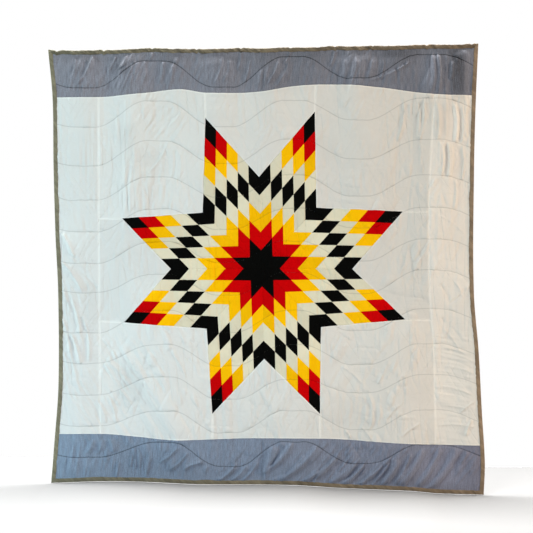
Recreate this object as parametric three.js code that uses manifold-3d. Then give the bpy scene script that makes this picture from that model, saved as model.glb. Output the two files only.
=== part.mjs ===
// A hand-quilted patchwork blanket with an eight-pointed star, hung by pins along its top edge.
// Millimetres, +Z up. The face looks towards -Y and +X is to the right of someone facing it.
// The origin is the middle of the top edge, where whatever holds the quilt takes its weight.

import * as THREE from 'three';
import { mergeVertices } from 'three/addons/utils/BufferGeometryUtils.js';
import Module from 'manifold-3d';

const wasm = await Module();
wasm.setup();

// Driving sizes
const SEAM_GAP = 0.3;          // between neighbouring pieces
const STITCH_THICKNESS = 3.2;  // cloth and wadding pressed together under a line of stitches
const LOFT = 7.0;              // what the wadding adds half way between two lines
const HEM_THICKNESS = 3.4;     // the edge of the quilt, pressed flat inside its binding
const BINDING_WIDTH = 18;
const BINDING_CLOTH = 1.2;
const BINDING_ROUND = 1.4;     // how far the fold of the binding is rounded off
const HEM_START = BINDING_CLOTH + SEAM_GAP;
const HEM_END = BINDING_WIDTH + HEM_START;
const PIN_SAG = 4.5;           // the top edge sinks this far between two pins
const PIN_BELLY = 16;          // and swells this far forward below the edge
const EDGE_BELLY = 0.4;        // share of that swell which the edge itself has
const BELLY_START = 80;        // how far down the swell reaches its full depth
const BELLY_REACH = 260;       // how far down that swell dies away
const COLUMNS = 32;            // columns of the cloth's grid, between the bindings
const CHANNEL_STEPS = [0, 0.5];  // rows of the grid in each channel between two lines
const CUTTER_DEPTH = 400;

// Where the top edge is pinned
const PINS = [
  { x: -888, z: -8 },
  { x: -686, z: -6 },
  { x: -477, z: 3 },
  { x: -286, z: -1 },
  { x: -95, z: 2 },
  { x: 118, z: 5 },
  { x: 310, z: 11 },
  { x: 473, z: 13 },
  { x: 705, z: 17 },
  { x: 899, z: 20 },
];
const TOP_CORNERS = { left: { x: -925, z: -7 }, right: { x: 929, z: 20 } };

// The other three edges of the quilt, each point a turn of the outline
const BOTTOM_EDGE = [
  { x: -912, z: -1871 },
  { x: -700, z: -1864 },
  { x: -480, z: -1868 },
  { x: -270, z: -1877 },
  { x: 130, z: -1880 },
  { x: 330, z: -1893 },
  { x: 630, z: -1905 },
  { x: 750, z: -1916 },
  { x: 950, z: -1922 },
];
const LEFT_EDGE = [
  { z: -7, x: -925 },
  { z: -215, x: -906 },
  { z: -500, x: -902 },
  { z: -780, x: -894 },
  { z: -1050, x: -881 },
  { z: -1450, x: -880 },
  { z: -1700, x: -898 },
  { z: -1871, x: -912 },
];
const RIGHT_EDGE = [
  { z: 20, x: 927 },
  { z: -240, x: 916 },
  { z: -520, x: 909 },
  { z: -1050, x: 907 },
  { z: -1300, x: 927 },
  { z: -1560, x: 941 },
  { z: -1780, x: 954 },
  { z: -1922, x: 950 },
];

// The seams that join the bands and the side strips to the star's block
const TOP_SEAM = [
  { x: -1000, z: -212 },
  { x: -700, z: -210 },
  { x: -530, z: -196 },
  { x: -357, z: -177 },
  { x: -240, z: -193 },
  { x: -10, z: -188 },
  { x: 130, z: -164 },
  { x: 300, z: -156 },
  { x: 510, z: -170 },
  { x: 735, z: -198 },
  { x: 1000, z: -203 },
];
const BOTTOM_SEAM = [
  { x: -1000, z: -1662 },
  { x: -700, z: -1660 },
  { x: -530, z: -1674 },
  { x: -380, z: -1686 },
  { x: -10, z: -1679 },
  { x: 290, z: -1682 },
  { x: 510, z: -1696 },
  { x: 735, z: -1707 },
  { x: 1000, z: -1710 },
];
const LEFT_SEAM = [
  { z: 0, x: -709 },
  { z: -950, x: -706 },
  { z: -1900, x: -700 },
];
const RIGHT_SEAM = [
  { z: 0, x: 741 },
  { z: -210, x: 735 },
  { z: -611, x: 714 },
  { z: -1041, x: 715 },
  { z: -1300, x: 735 },
  { z: -1900, x: 746 },
];
const BAND_JOINT_X = -4;

// The star: a row for each point, with the inner corner before it, its tip, and where the seam
// that leaves the tip meets the border
const STAR_CENTRE = { x: -6, z: -948 };
const STAR = [
  { cornerX: -17, cornerZ: -555, tipX: 223, tipZ: -273, seam: 'top', seamX: 226 },
  { cornerX: 229, cornerZ: -687, tipX: 601, tipZ: -703, seam: 'right', seamZ: -705 },
  { cornerX: 383, cornerZ: -950, tipX: 611, tipZ: -1167, seam: 'right', seamZ: -1171 },
  { cornerX: 249, cornerZ: -1200, tipX: 245, tipZ: -1573, seam: 'bottom', seamX: 246 },
  { cornerX: 5, cornerZ: -1336, tipX: -218, tipZ: -1573, seam: 'bottom', seamX: -218 },
  { cornerX: -242, cornerZ: -1207, tipX: -597, tipZ: -1180, seam: 'left', seamZ: -1174 },
  { cornerX: -396, cornerZ: -950, tipX: -605, tipZ: -733, seam: 'left', seamZ: -735 },
  { cornerX: -259, cornerZ: -708, tipX: -247, tipZ: -303, seam: 'top', seamX: -249 },
];

// The wavy quilting: a row for each line, its height where it dips and where it rises
const WAVE_X = { dip1: -765, rise1: -464, dip2: -172, rise2: 129, dip3: 404, rise3: 706 };
const WAVE_DRIFT = { dip1: 20, rise1: 40, dip2: 20, rise2: 0, dip3: 22, rise3: 0 };
const WAVE_FLAT = 0.13;        // share of the way from a dip to a rise that stays level
const WAVE_HALF = 415;         // from a dip to a rise, where a line runs on to the edges
const QUILTING = [
  { dip1: -172, rise1: -54, dip2: -169, rise2: -36, dip3: -130, rise3: -28 },
  { dip1: -341, rise1: -226, dip2: -339, rise2: -223, dip3: -309, rise3: -215 },
  { dip1: -507, rise1: -397, dip2: -497, rise2: -391, dip3: -477, rise3: -394 },
  { dip1: -655, rise1: -553, dip2: -642, rise2: -545, dip3: -636, rise3: -547 },
  { dip1: -791, rise1: -692, dip2: -779, rise2: -690, dip3: -774, rise3: -685 },
  { dip1: -925, rise1: -833, dip2: -920, rise2: -829, dip3: -915, rise3: -821 },
  { dip1: -1052, rise1: -973, dip2: -1063, rise2: -965, dip3: -1055, rise3: -955 },
  { dip1: -1224, rise1: -1127, dip2: -1225, rise2: -1128, dip3: -1216, rise3: -1122 },
  { dip1: -1356, rise1: -1276, dip2: -1369, rise2: -1276, dip3: -1362, rise3: -1273 },
  { dip1: -1492, rise1: -1415, dip2: -1512, rise2: -1424, dip3: -1484, rise3: -1404 },
  { dip1: -1626, rise1: -1561, dip2: -1656, rise2: -1559, dip3: -1643, rise3: -1556 },
  { dip1: -1762, rise1: -1697, dip2: -1802, rise2: -1693, dip3: -1788, rise3: -1706 },
];

// The long soft folds in which the quilt hangs: where each begins and ends, its width, and how far
// it stands forward, or back where the depth is negative
const FOLDS = [
  { x: -660, z: -60, footX: -640, footZ: -720, width: 62, depth: -8 },
  { x: -560, z: -90, footX: -575, footZ: -800, width: 75, depth: 13 },
  { x: -395, z: -120, footX: -455, footZ: -760, width: 80, depth: -7 },
  { x: -190, z: -60, footX: -225, footZ: -620, width: 85, depth: 9 },
  { x: 40, z: -80, footX: 20, footZ: -560, width: 80, depth: 7 },
  { x: 250, z: -60, footX: 320, footZ: -700, width: 90, depth: -8 },
  { x: 420, z: -60, footX: 470, footZ: -820, width: 95, depth: 9 },
  { x: 600, z: -70, footX: 590, footZ: -900, width: 75, depth: -9 },
  { x: 735, z: -70, footX: 720, footZ: -1100, width: 70, depth: 10 },
  { x: 850, z: -90, footX: 850, footZ: -900, width: 62, depth: -8 },
  { x: -840, z: -780, footX: -800, footZ: -1850, width: 80, depth: 10 },
  { x: -690, z: -900, footX: -560, footZ: -1850, width: 100, depth: -9 },
  { x: -500, z: -1000, footX: -330, footZ: -1820, width: 110, depth: 12 },
  { x: -150, z: -1250, footX: -90, footZ: -1850, width: 110, depth: -8 },
  { x: 120, z: -1180, footX: 130, footZ: -1860, width: 120, depth: 9 },
  { x: 400, z: -1100, footX: 360, footZ: -1870, width: 105, depth: -10 },
  { x: 600, z: -1150, footX: 590, footZ: -1880, width: 95, depth: 12 },
  { x: 800, z: -1150, footX: 780, footZ: -1880, width: 80, depth: -8 },
  { x: 905, z: -1000, footX: 925, footZ: -1880, width: 65, depth: 8 },
];
const FOLD_FADE = 190;         // length over which a fold rises and dies away at its ends

// Cloth colours
const CLOTHS = {
  white: { color: 0xdcdbde, roughness: 0.95 },
  chambray: { color: 0x5c6480, roughness: 0.95 },
  star: { color: 0xb5131b, roughness: 0.9 },
  binding: { color: 0x6b6a55, roughness: 0.9 },
};

function smooth(t) {
  const s = THREE.MathUtils.clamp(t, 0, 1);
  return s * s * (3 - 2 * s);
}

// A smooth curve through a table's points: its height at a given place along it
function alongTable(table, input, output, at) {
  const last = table.length - 1;
  let i = 0;
  const up = table[last][input] > table[0][input];
  while (i < last - 1 && (up ? at > table[i + 1][input] : at < table[i + 1][input])) i += 1;
  const a = table[i];
  const b = table[i + 1];
  const before = table[Math.max(i - 1, 0)];
  const after = table[Math.min(i + 2, last)];
  const span = b[input] - a[input];
  const t = THREE.MathUtils.clamp((at - a[input]) / span, 0, 1);
  const slopeA = (b[output] - before[output]) / (b[input] - before[input]);
  const slopeB = (after[output] - a[output]) / (after[input] - a[input]);
  const t2 = t * t;
  const t3 = t2 * t;
  return (2 * t3 - 3 * t2 + 1) * a[output] + (t3 - 2 * t2 + t) * span * slopeA
    + (3 * t2 - 2 * t3) * b[output] + (t3 - t2) * span * slopeB;
}

const leftEdge = (z) => alongTable(LEFT_EDGE, 'z', 'x', z);
const rightEdge = (z) => alongTable(RIGHT_EDGE, 'z', 'x', z);
const bottomEdge = (x) => alongTable(BOTTOM_EDGE, 'x', 'z', x);
const topSeam = (x) => alongTable(TOP_SEAM, 'x', 'z', x);
const bottomSeam = (x) => alongTable(BOTTOM_SEAM, 'x', 'z', x);
const leftSeam = (z) => alongTable(LEFT_SEAM, 'z', 'x', z);
const rightSeam = (z) => alongTable(RIGHT_SEAM, 'z', 'x', z);

// The pins to the left and right of a place on the top edge, and how far it is between them
function pinSpan(x) {
  const stops = [TOP_CORNERS.left, ...PINS, TOP_CORNERS.right];
  let i = 0;
  while (i < stops.length - 2 && x > stops[i + 1].x) i += 1;
  const t = THREE.MathUtils.clamp((x - stops[i].x) / (stops[i + 1].x - stops[i].x), 0, 1);
  const pinned = i > 0 && i < stops.length - 2;
  return { a: stops[i], b: stops[i + 1], t, pinned };
}

function topEdge(x) {
  const { a, b, t, pinned } = pinSpan(x);
  const sag = pinned ? PIN_SAG * 4 * t * (1 - t) : 0;
  return THREE.MathUtils.lerp(a.z, b.z, t) - sag;
}

// How far the cloth swells and folds forward
function swell(x, z) {
  const { t, pinned } = pinSpan(x);
  const drop = Math.max(topEdge(x) - z, 0);
  let depth = 0;
  if (pinned) {
    const opened = THREE.MathUtils.lerp(EDGE_BELLY, 1, smooth(drop / BELLY_START));
    depth += PIN_BELLY * Math.sin(Math.PI * t) ** 2 * opened * Math.exp(-drop / BELLY_REACH);
  }
  for (const fold of FOLDS) {
    const along = (z - fold.z) / (fold.footZ - fold.z);
    const middle = THREE.MathUtils.lerp(fold.x, fold.footX, THREE.MathUtils.clamp(along, 0, 1));
    const across = (x - middle) / fold.width;
    const start = smooth((fold.z - z) / FOLD_FADE + 0.5);
    const end = smooth((z - fold.footZ) / FOLD_FADE + 0.5);
    depth += fold.depth * Math.exp(-across * across) * start * end;
  }
  return depth;
}

const ORIGIN_SWELL = swell(0, 0);

// The height of one quilting line at a place across the quilt
function quiltingLine(index, x) {
  const line = QUILTING[index];
  const down = index / (QUILTING.length - 1);
  const turns = Object.keys(WAVE_X).map((name) => (
    { x: WAVE_X[name] + WAVE_DRIFT[name] * down, z: line[name] }));
  const first = turns[0];
  const last = turns[turns.length - 1];
  turns.unshift({ x: first.x - WAVE_HALF, z: turns[1].z });
  turns.push({ x: last.x + WAVE_HALF, z: turns[turns.length - 2].z });
  let i = 0;
  while (i < turns.length - 2 && x > turns[i + 1].x) i += 1;
  const t = (x - turns[i].x) / (turns[i + 1].x - turns[i].x);
  const eased = smooth((t - WAVE_FLAT) / (1 - 2 * WAVE_FLAT));
  return THREE.MathUtils.lerp(turns[i].z, turns[i + 1].z, eased);
}

// The channels lie between the binding, the quilting lines and the binding again
function channelBound(index, x) {
  if (index === 0) return topEdge(x) - HEM_END;
  if (index > QUILTING.length) return bottomEdge(x) + HEM_END;
  return quiltingLine(index - 1, x);
}

// The rows of the cloth's grid, from the top hem to the bottom hem
function gridRows() {
  const rows = [{ height: (x) => topEdge(x) - HEM_START, loft: 0, hem: true }];
  for (let c = 0; c <= QUILTING.length; c += 1) {
    for (const step of CHANNEL_STEPS) {
      const hem = c === 0 && step === 0;
      const height = (x) => THREE.MathUtils.lerp(channelBound(c, x), channelBound(c + 1, x), step);
      rows.push({ height, loft: step === 0 ? 0 : LOFT, hem });
    }
  }
  rows.push({ height: (x) => bottomEdge(x) + HEM_END, loft: 0, hem: true });
  rows.push({ height: (x) => bottomEdge(x) + HEM_START, loft: 0, hem: true });
  return rows;
}

// A point on the middle of the cloth, a share of the way across it, on one row
function clothPoint(row, column) {
  const edgeColumn = column === 0 || column === COLUMNS + 2;
  const inner = THREE.MathUtils.clamp(column, 1, COLUMNS + 1);
  const share = (inner - 1) / COLUMNS;
  let x = 0;
  let z = row.height(x);
  for (let round = 0; round < 4; round += 1) {
    x = THREE.MathUtils.lerp(leftEdge(z) + HEM_END, rightEdge(z) - HEM_END, share);
    z = row.height(x);
  }
  if (edgeColumn) x = column === 0 ? leftEdge(z) + HEM_START : rightEdge(z) - HEM_START;
  const hem = row.hem || share === 0 || share === 1;
  const thickness = hem ? HEM_THICKNESS : STITCH_THICKNESS + row.loft;
  return { x, y: ORIGIN_SWELL - swell(x, z), z, half: thickness / 2 };
}

// The whole quilt under its binding, as one closed slab of cloth and wadding
function clothGrid() {
  return gridRows().map((row) => {
    const points = [];
    for (let c = 0; c <= COLUMNS + 2; c += 1) points.push(clothPoint(row, c));
    return points;
  });
}

function slabGeometry(grid) {
  const rows = grid.length;
  const columns = grid[0].length;
  const positions = [];
  for (const side of [-1, 1]) {
    for (const row of grid) {
      for (const p of row) positions.push(p.x, p.y + side * p.half, p.z);
    }
  }
  const front = (r, c) => r * columns + c;
  const back = (r, c) => rows * columns + front(r, c);
  const index = [];
  const quad = (a, b, c, d) => index.push(a, b, c, a, c, d);
  for (let r = 0; r < rows - 1; r += 1) {
    for (let c = 0; c < columns - 1; c += 1) {
      quad(front(r, c), front(r + 1, c), front(r + 1, c + 1), front(r, c + 1));
      quad(back(r, c), back(r, c + 1), back(r + 1, c + 1), back(r + 1, c));
    }
    quad(front(r, 0), back(r, 0), back(r + 1, 0), front(r + 1, 0));
    const end = columns - 1;
    quad(front(r, end), front(r + 1, end), back(r + 1, end), back(r, end));
  }
  for (let c = 0; c < columns - 1; c += 1) {
    quad(front(0, c), front(0, c + 1), back(0, c + 1), back(0, c));
    const end = rows - 1;
    quad(front(end, c), back(end, c), back(end, c + 1), front(end, c + 1));
  }
  const geometry = new THREE.BufferGeometry();
  geometry.setAttribute('position', new THREE.Float32BufferAttribute(positions, 3));
  geometry.setIndex(index);
  return geometry;
}

function solidFrom(geometry) {
  const bare = geometry.clone();
  bare.deleteAttribute('normal');
  bare.deleteAttribute('uv');
  const merged = mergeVertices(bare, 1e-4);
  return new wasm.Manifold(new wasm.Mesh({
    numProp: 3,
    vertProperties: merged.getAttribute('position').array,
    triVerts: Uint32Array.from(merged.index.array),
  }));
}

function geometryFrom(solid) {
  const mesh = solid.getMesh();
  const geometry = new THREE.BufferGeometry();
  geometry.setAttribute('position', new THREE.Float32BufferAttribute(mesh.vertProperties, 3));
  geometry.setIndex(Array.from(mesh.triVerts));
  geometry.computeVertexNormals();
  return geometry;
}

// Each side of an outline moved in by half the gap between two pieces
function inset(outline) {
  const points = THREE.ShapeUtils.isClockWise(outline) ? [...outline].reverse() : outline;
  return points.map((p, i) => {
    const before = points[(i + points.length - 1) % points.length];
    const after = points[(i + 1) % points.length];
    const a = new THREE.Vector2().subVectors(p, before).normalize();
    const b = new THREE.Vector2().subVectors(after, p).normalize();
    const inwardA = new THREE.Vector2(-a.y, a.x);
    const inwardB = new THREE.Vector2(-b.y, b.x);
    const bisector = inwardA.clone().add(inwardB).normalize();
    const reach = SEAM_GAP / 2 / Math.max(bisector.dot(inwardA), 0.2);
    return p.clone().addScaledVector(bisector, reach);
  });
}

// A piece of the quilt: what lies inside an outline drawn on its face
function cutPiece(slab, outline) {
  const shape = new THREE.Shape(inset(outline));
  const prism = new THREE.ExtrudeGeometry(shape, { depth: CUTTER_DEPTH, bevelEnabled: false });
  prism.translate(0, 0, -CUTTER_DEPTH / 2);
  prism.rotateX(Math.PI / 2);
  return geometryFrom(slab.intersect(solidFrom(prism)));
}

const point = (x, z) => new THREE.Vector2(x, z);

// Points along a seam between two places, both included
function seamAcross(seam, from, to, steps) {
  return Array.from({ length: steps + 1 }, (unused, i) => {
    const x = THREE.MathUtils.lerp(from, to, i / steps);
    return point(x, seam(x));
  });
}

function seamDown(seam, from, to, steps) {
  return Array.from({ length: steps + 1 }, (unused, i) => {
    const z = THREE.MathUtils.lerp(from, to, i / steps);
    return point(seam(z), z);
  });
}

// Where a side seam meets a band seam
function crossing(side, band) {
  let x = side(0);
  for (let round = 0; round < 6; round += 1) x = side(band(x));
  return point(x, band(x));
}

const OUT = 1100;              // past the outline, where the slab itself ends a piece
const LONG_RUN_STEPS = 5;      // straight pieces that a stretch of a seam is drawn with
const SHORT_RUN_STEPS = 2;
const OUTER_RUN_STEPS = 3;
const CORNERS = {
  topLeft: crossing(leftSeam, topSeam),
  topRight: crossing(rightSeam, topSeam),
  bottomLeft: crossing(leftSeam, bottomSeam),
  bottomRight: crossing(rightSeam, bottomSeam),
};

// A seam is drawn once, so the pieces on its two sides share every point of it
const topLeftOuter = seamAcross(topSeam, -OUT, CORNERS.topLeft.x, OUTER_RUN_STEPS);
const topRightOuter = seamAcross(topSeam, CORNERS.topRight.x, OUT, OUTER_RUN_STEPS);
const bottomLeftOuter = seamAcross(bottomSeam, -OUT, CORNERS.bottomLeft.x, OUTER_RUN_STEPS);
const bottomRightOuter = seamAcross(bottomSeam, CORNERS.bottomRight.x, OUT, OUTER_RUN_STEPS);

// Where the seam that leaves a star point's tip meets the border
function tipSeamEnd(row) {
  if (row.seam === 'top') return point(row.seamX, topSeam(row.seamX));
  if (row.seam === 'bottom') return point(row.seamX, bottomSeam(row.seamX));
  if (row.seam === 'left') return point(leftSeam(row.seamZ), row.seamZ);
  return point(rightSeam(row.seamZ), row.seamZ);
}

// The border seams of the star's block, in stretches between the places where other seams meet them
const [n2, e1, e2, s2, s1, w2, w1, n1] = STAR.map(tipSeamEnd);
const topRun = {
  left: seamAcross(topSeam, CORNERS.topLeft.x, n1.x, LONG_RUN_STEPS),
  joint: seamAcross(topSeam, n1.x, BAND_JOINT_X, SHORT_RUN_STEPS),
  middle: seamAcross(topSeam, BAND_JOINT_X, n2.x, SHORT_RUN_STEPS),
  right: seamAcross(topSeam, n2.x, CORNERS.topRight.x, LONG_RUN_STEPS),
};
const bottomRun = {
  left: seamAcross(bottomSeam, CORNERS.bottomLeft.x, s1.x, LONG_RUN_STEPS),
  joint: seamAcross(bottomSeam, s1.x, BAND_JOINT_X, SHORT_RUN_STEPS),
  middle: seamAcross(bottomSeam, BAND_JOINT_X, s2.x, SHORT_RUN_STEPS),
  right: seamAcross(bottomSeam, s2.x, CORNERS.bottomRight.x, LONG_RUN_STEPS),
};
const leftRun = {
  top: seamDown(leftSeam, CORNERS.topLeft.y, w1.y, SHORT_RUN_STEPS),
  middle: seamDown(leftSeam, w1.y, w2.y, SHORT_RUN_STEPS),
  bottom: seamDown(leftSeam, w2.y, CORNERS.bottomLeft.y, SHORT_RUN_STEPS),
};
const rightRun = {
  top: seamDown(rightSeam, CORNERS.topRight.y, e1.y, OUTER_RUN_STEPS),
  middle: seamDown(rightSeam, e1.y, e2.y, OUTER_RUN_STEPS),
  bottom: seamDown(rightSeam, e2.y, CORNERS.bottomRight.y, OUTER_RUN_STEPS),
};

// One outline from stretches that follow each other, with the shared ends kept once
function joinRuns(...runs) {
  const outline = [];
  for (const p of runs.flat()) {
    const last = outline[outline.length - 1];
    if (!last || last.distanceTo(p) > 0.01) outline.push(p);
  }
  if (outline[0].distanceTo(outline[outline.length - 1]) < 0.01) outline.pop();
  return outline;
}

const reversed = (run) => [...run].reverse();
const corner = (index) => point(STAR[index % 8].cornerX, STAR[index % 8].cornerZ);
const tip = (index) => point(STAR[index % 8].tipX, STAR[index % 8].tipZ);

function bandOutlines() {
  const above = (from, to) => [point(from, OUT), point(to, OUT)];
  const below = (from, to) => [point(from, -2 * OUT), point(to, -2 * OUT)];
  return {
    band_top_left: joinRuns(topLeftOuter, topRun.left, topRun.joint, above(BAND_JOINT_X, -OUT)),
    band_top_right: joinRuns(topRun.middle, topRun.right, topRightOuter, above(OUT, BAND_JOINT_X)),
    band_bottom_left: joinRuns(
      bottomLeftOuter, bottomRun.left, bottomRun.joint, below(BAND_JOINT_X, -OUT)),
    band_bottom_right: joinRuns(
      bottomRun.middle, bottomRun.right, bottomRightOuter, below(OUT, BAND_JOINT_X)),
  };
}

function stripOutlines() {
  return {
    side_strip_left: joinRuns(
      topLeftOuter, leftRun.top, leftRun.middle, leftRun.bottom, reversed(bottomLeftOuter)),
    side_strip_right: joinRuns(
      reversed(topRightOuter), rightRun.top, rightRun.middle, rightRun.bottom, bottomRightOuter),
  };
}

function groundOutlines() {
  return {
    ground_top: joinRuns(topRun.joint, topRun.middle, [tip(0), corner(0), tip(7)]),
    ground_top_right: joinRuns(topRun.right, rightRun.top, [tip(1), corner(1), tip(0)]),
    ground_right: joinRuns(rightRun.middle, [tip(2), corner(2), tip(1)]),
    ground_bottom_right: joinRuns(
      rightRun.bottom, reversed(bottomRun.right), [tip(3), corner(3), tip(2)]),
    ground_bottom: joinRuns(bottomRun.joint, bottomRun.middle, [tip(3), corner(4), tip(4)]),
    ground_bottom_left: joinRuns(
      reversed(bottomRun.left), reversed(leftRun.bottom), [tip(5), corner(5), tip(4)]),
    ground_left: joinRuns(leftRun.middle, [tip(5), corner(6), tip(6)]),
    ground_top_left: joinRuns(reversed(leftRun.top), topRun.left, [tip(7), corner(7), tip(6)]),
  };
}

function starOutlines() {
  const outlines = {};
  STAR.forEach((row, i) => {
    outlines[`star_point_${i + 1}`] = [
      point(STAR_CENTRE.x, STAR_CENTRE.z), corner(i), tip(i), corner(i + 1)];
  });
  return outlines;
}

// The binding's section: d is measured in from the edge of the quilt, n is towards its back
function bindingSection() {
  const outer = HEM_THICKNESS / 2 + SEAM_GAP + BINDING_CLOTH;
  const inner = HEM_THICKNESS / 2 + SEAM_GAP;
  return [
    { d: 0, n: BINDING_ROUND - outer },
    { d: BINDING_ROUND, n: -outer },
    { d: BINDING_WIDTH, n: -outer },
    { d: BINDING_WIDTH, n: -inner },
    { d: BINDING_CLOTH, n: -inner },
    { d: BINDING_CLOTH, n: inner },
    { d: BINDING_WIDTH, n: inner },
    { d: BINDING_WIDTH, n: outer },
    { d: BINDING_ROUND, n: outer },
    { d: 0, n: outer - BINDING_ROUND },
  ];
}

// One side of the binding: each station places a point of the section in space. Its faces are split
// along the same diagonals as the cloth's, so that the gap between the two stays even.
function bindingGeometry(stations, { flip, outerFirst }) {
  const section = bindingSection();
  const count = section.length;
  const positions = [];
  for (const place of stations) {
    for (const { d, n } of section) {
      const p = place(d);
      positions.push(p.x, p.y + n, p.z);
    }
  }
  const index = [];
  const triangle = (a, b, c) => (flip ? index.push(a, c, b) : index.push(a, b, c));
  for (let s = 0; s < stations.length - 1; s += 1) {
    for (let k = 0; k < count; k += 1) {
      const next = (k + 1) % count;
      const a = s * count + k;
      const b = s * count + next;
      const fromA = (section[k].d < section[next].d) === outerFirst;
      if (fromA) {
        triangle(a, b, b + count);
        triangle(a, b + count, a + count);
      } else {
        triangle(a, b, a + count);
        triangle(b, b + count, a + count);
      }
    }
  }
  const contour = section.map(({ d, n }) => point(d, n));
  const end = (stations.length - 1) * count;
  for (const [a, b, c] of THREE.ShapeUtils.triangulateShape(contour, [])) {
    triangle(c, b, a);
    triangle(end + a, end + b, end + c);
  }
  const geometry = new THREE.BufferGeometry();
  geometry.setAttribute('position', new THREE.Float32BufferAttribute(positions, 3));
  geometry.setIndex(index);
  geometry.computeVertexNormals();
  return geometry;
}

const between = (a, b, t) => ({
  x: THREE.MathUtils.lerp(a.x, b.x, t),
  y: THREE.MathUtils.lerp(a.y, b.y, t),
  z: THREE.MathUtils.lerp(a.z, b.z, t),
});
const hemShare = (d) => (d - HEM_START) / (HEM_END - HEM_START);

// A station on a straight stretch runs through the grid's outermost point and the one beside it
const station = (edge, inner) => (d) => between(edge, inner, hemShare(d));

// At a corner two bindings meet in a mitre, each kept a little short of its diagonal
function mitre(cornerPoint, alongA, alongB, opposite, lead) {
  return (d) => between(
    between(cornerPoint, alongA, hemShare(d)),
    between(alongB, opposite, hemShare(d)),
    hemShare(d + lead),
  );
}

function bindings(grid) {
  const r = grid.length - 1;
  const c = grid[0].length - 1;
  const lead = SEAM_GAP * Math.SQRT1_2 * 1.2;
  const rowRange = Array.from({ length: r - 1 }, (unused, i) => i + 1);
  const columnRange = Array.from({ length: c - 1 }, (unused, i) => i + 1);
  const mitres = (first, second, run) => [first, ...run, second];
  return {
    binding_left: bindingGeometry(mitres(
      mitre(grid[0][0], grid[0][1], grid[1][0], grid[1][1], lead),
      mitre(grid[r][0], grid[r][1], grid[r - 1][0], grid[r - 1][1], lead),
      rowRange.map((i) => station(grid[i][0], grid[i][1]))), { flip: true, outerFirst: true }),
    binding_right: bindingGeometry(mitres(
      mitre(grid[0][c], grid[0][c - 1], grid[1][c], grid[1][c - 1], lead),
      mitre(grid[r][c], grid[r][c - 1], grid[r - 1][c], grid[r - 1][c - 1], lead),
      rowRange.map((i) => station(grid[i][c], grid[i][c - 1]))), { flip: false, outerFirst: false }),
    binding_top: bindingGeometry(mitres(
      mitre(grid[0][0], grid[1][0], grid[0][1], grid[1][1], lead),
      mitre(grid[0][c], grid[1][c], grid[0][c - 1], grid[1][c - 1], lead),
      columnRange.map((i) => station(grid[0][i], grid[1][i]))), { flip: false, outerFirst: true }),
    binding_bottom: bindingGeometry(mitres(
      mitre(grid[r][0], grid[r - 1][0], grid[r][1], grid[r - 1][1], lead),
      mitre(grid[r][c], grid[r - 1][c], grid[r][c - 1], grid[r - 1][c - 1], lead),
      columnRange.map((i) => station(grid[r][i], grid[r - 1][i]))), { flip: true, outerFirst: false }),
  };
}

function clothMaterial(name) {
  return new THREE.MeshStandardMaterial({ ...CLOTHS[name], metalness: 0, side: THREE.DoubleSide });
}

function addPiece(parent, name, geometry, cloth) {
  const mesh = new THREE.Mesh(geometry, clothMaterial(cloth));
  mesh.name = name;
  parent.add(mesh);
}

const quilt = new THREE.Group();
const grid = clothGrid();
const slab = solidFrom(slabGeometry(grid));
const families = [
  { outlines: bandOutlines(), cloth: 'chambray' },
  { outlines: stripOutlines(), cloth: 'white' },
  { outlines: groundOutlines(), cloth: 'white' },
  { outlines: starOutlines(), cloth: 'star' },
];
for (const { outlines, cloth } of families) {
  for (const [name, outline] of Object.entries(outlines)) {
    addPiece(quilt, name, cutPiece(slab, outline), cloth);
  }
}
for (const [name, geometry] of Object.entries(bindings(grid))) {
  addPiece(quilt, name, geometry, 'binding');
}

export default quilt;
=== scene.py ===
# A hand-quilted star quilt, hung by its top edge and seen from the front.
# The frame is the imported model. Sizes below are millimetres in the model's own frame unless a name
# says otherwise, and meshes are made in metres.

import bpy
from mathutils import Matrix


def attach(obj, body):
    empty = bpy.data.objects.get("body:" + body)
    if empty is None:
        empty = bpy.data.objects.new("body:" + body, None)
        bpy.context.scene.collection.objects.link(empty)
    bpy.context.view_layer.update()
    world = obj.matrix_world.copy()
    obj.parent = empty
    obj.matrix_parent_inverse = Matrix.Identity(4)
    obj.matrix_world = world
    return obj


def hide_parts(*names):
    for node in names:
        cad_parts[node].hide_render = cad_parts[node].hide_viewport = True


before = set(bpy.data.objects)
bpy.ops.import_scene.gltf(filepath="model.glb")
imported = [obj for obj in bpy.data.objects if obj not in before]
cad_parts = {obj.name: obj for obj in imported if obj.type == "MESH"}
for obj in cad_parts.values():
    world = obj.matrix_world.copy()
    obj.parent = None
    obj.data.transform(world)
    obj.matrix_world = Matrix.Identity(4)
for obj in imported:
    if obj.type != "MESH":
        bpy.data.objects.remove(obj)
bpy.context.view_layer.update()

import math

import bpy
import numpy as np
from mathutils import Vector
from mathutils.geometry import delaunay_2d_cdt

MM = 0.001
BODY = "root"

# Construction, as in the model's source
HEM_HALF = 1.7
BINDING_WIDTH = 18.0
BINDING_CLOTH = 1.2
SEAM_GAP = 0.3
HEM_START = BINDING_CLOTH + SEAM_GAP
HELD_SAG = 4.5                  # the top edge sinks this far between two held places
HELD_BELLY = 16.0               # and the cloth below swells this far forward
EDGE_BELLY = 0.4
BELLY_START = 80.0
BELLY_REACH = 260.0
FOLD_FADE = 190.0

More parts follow.
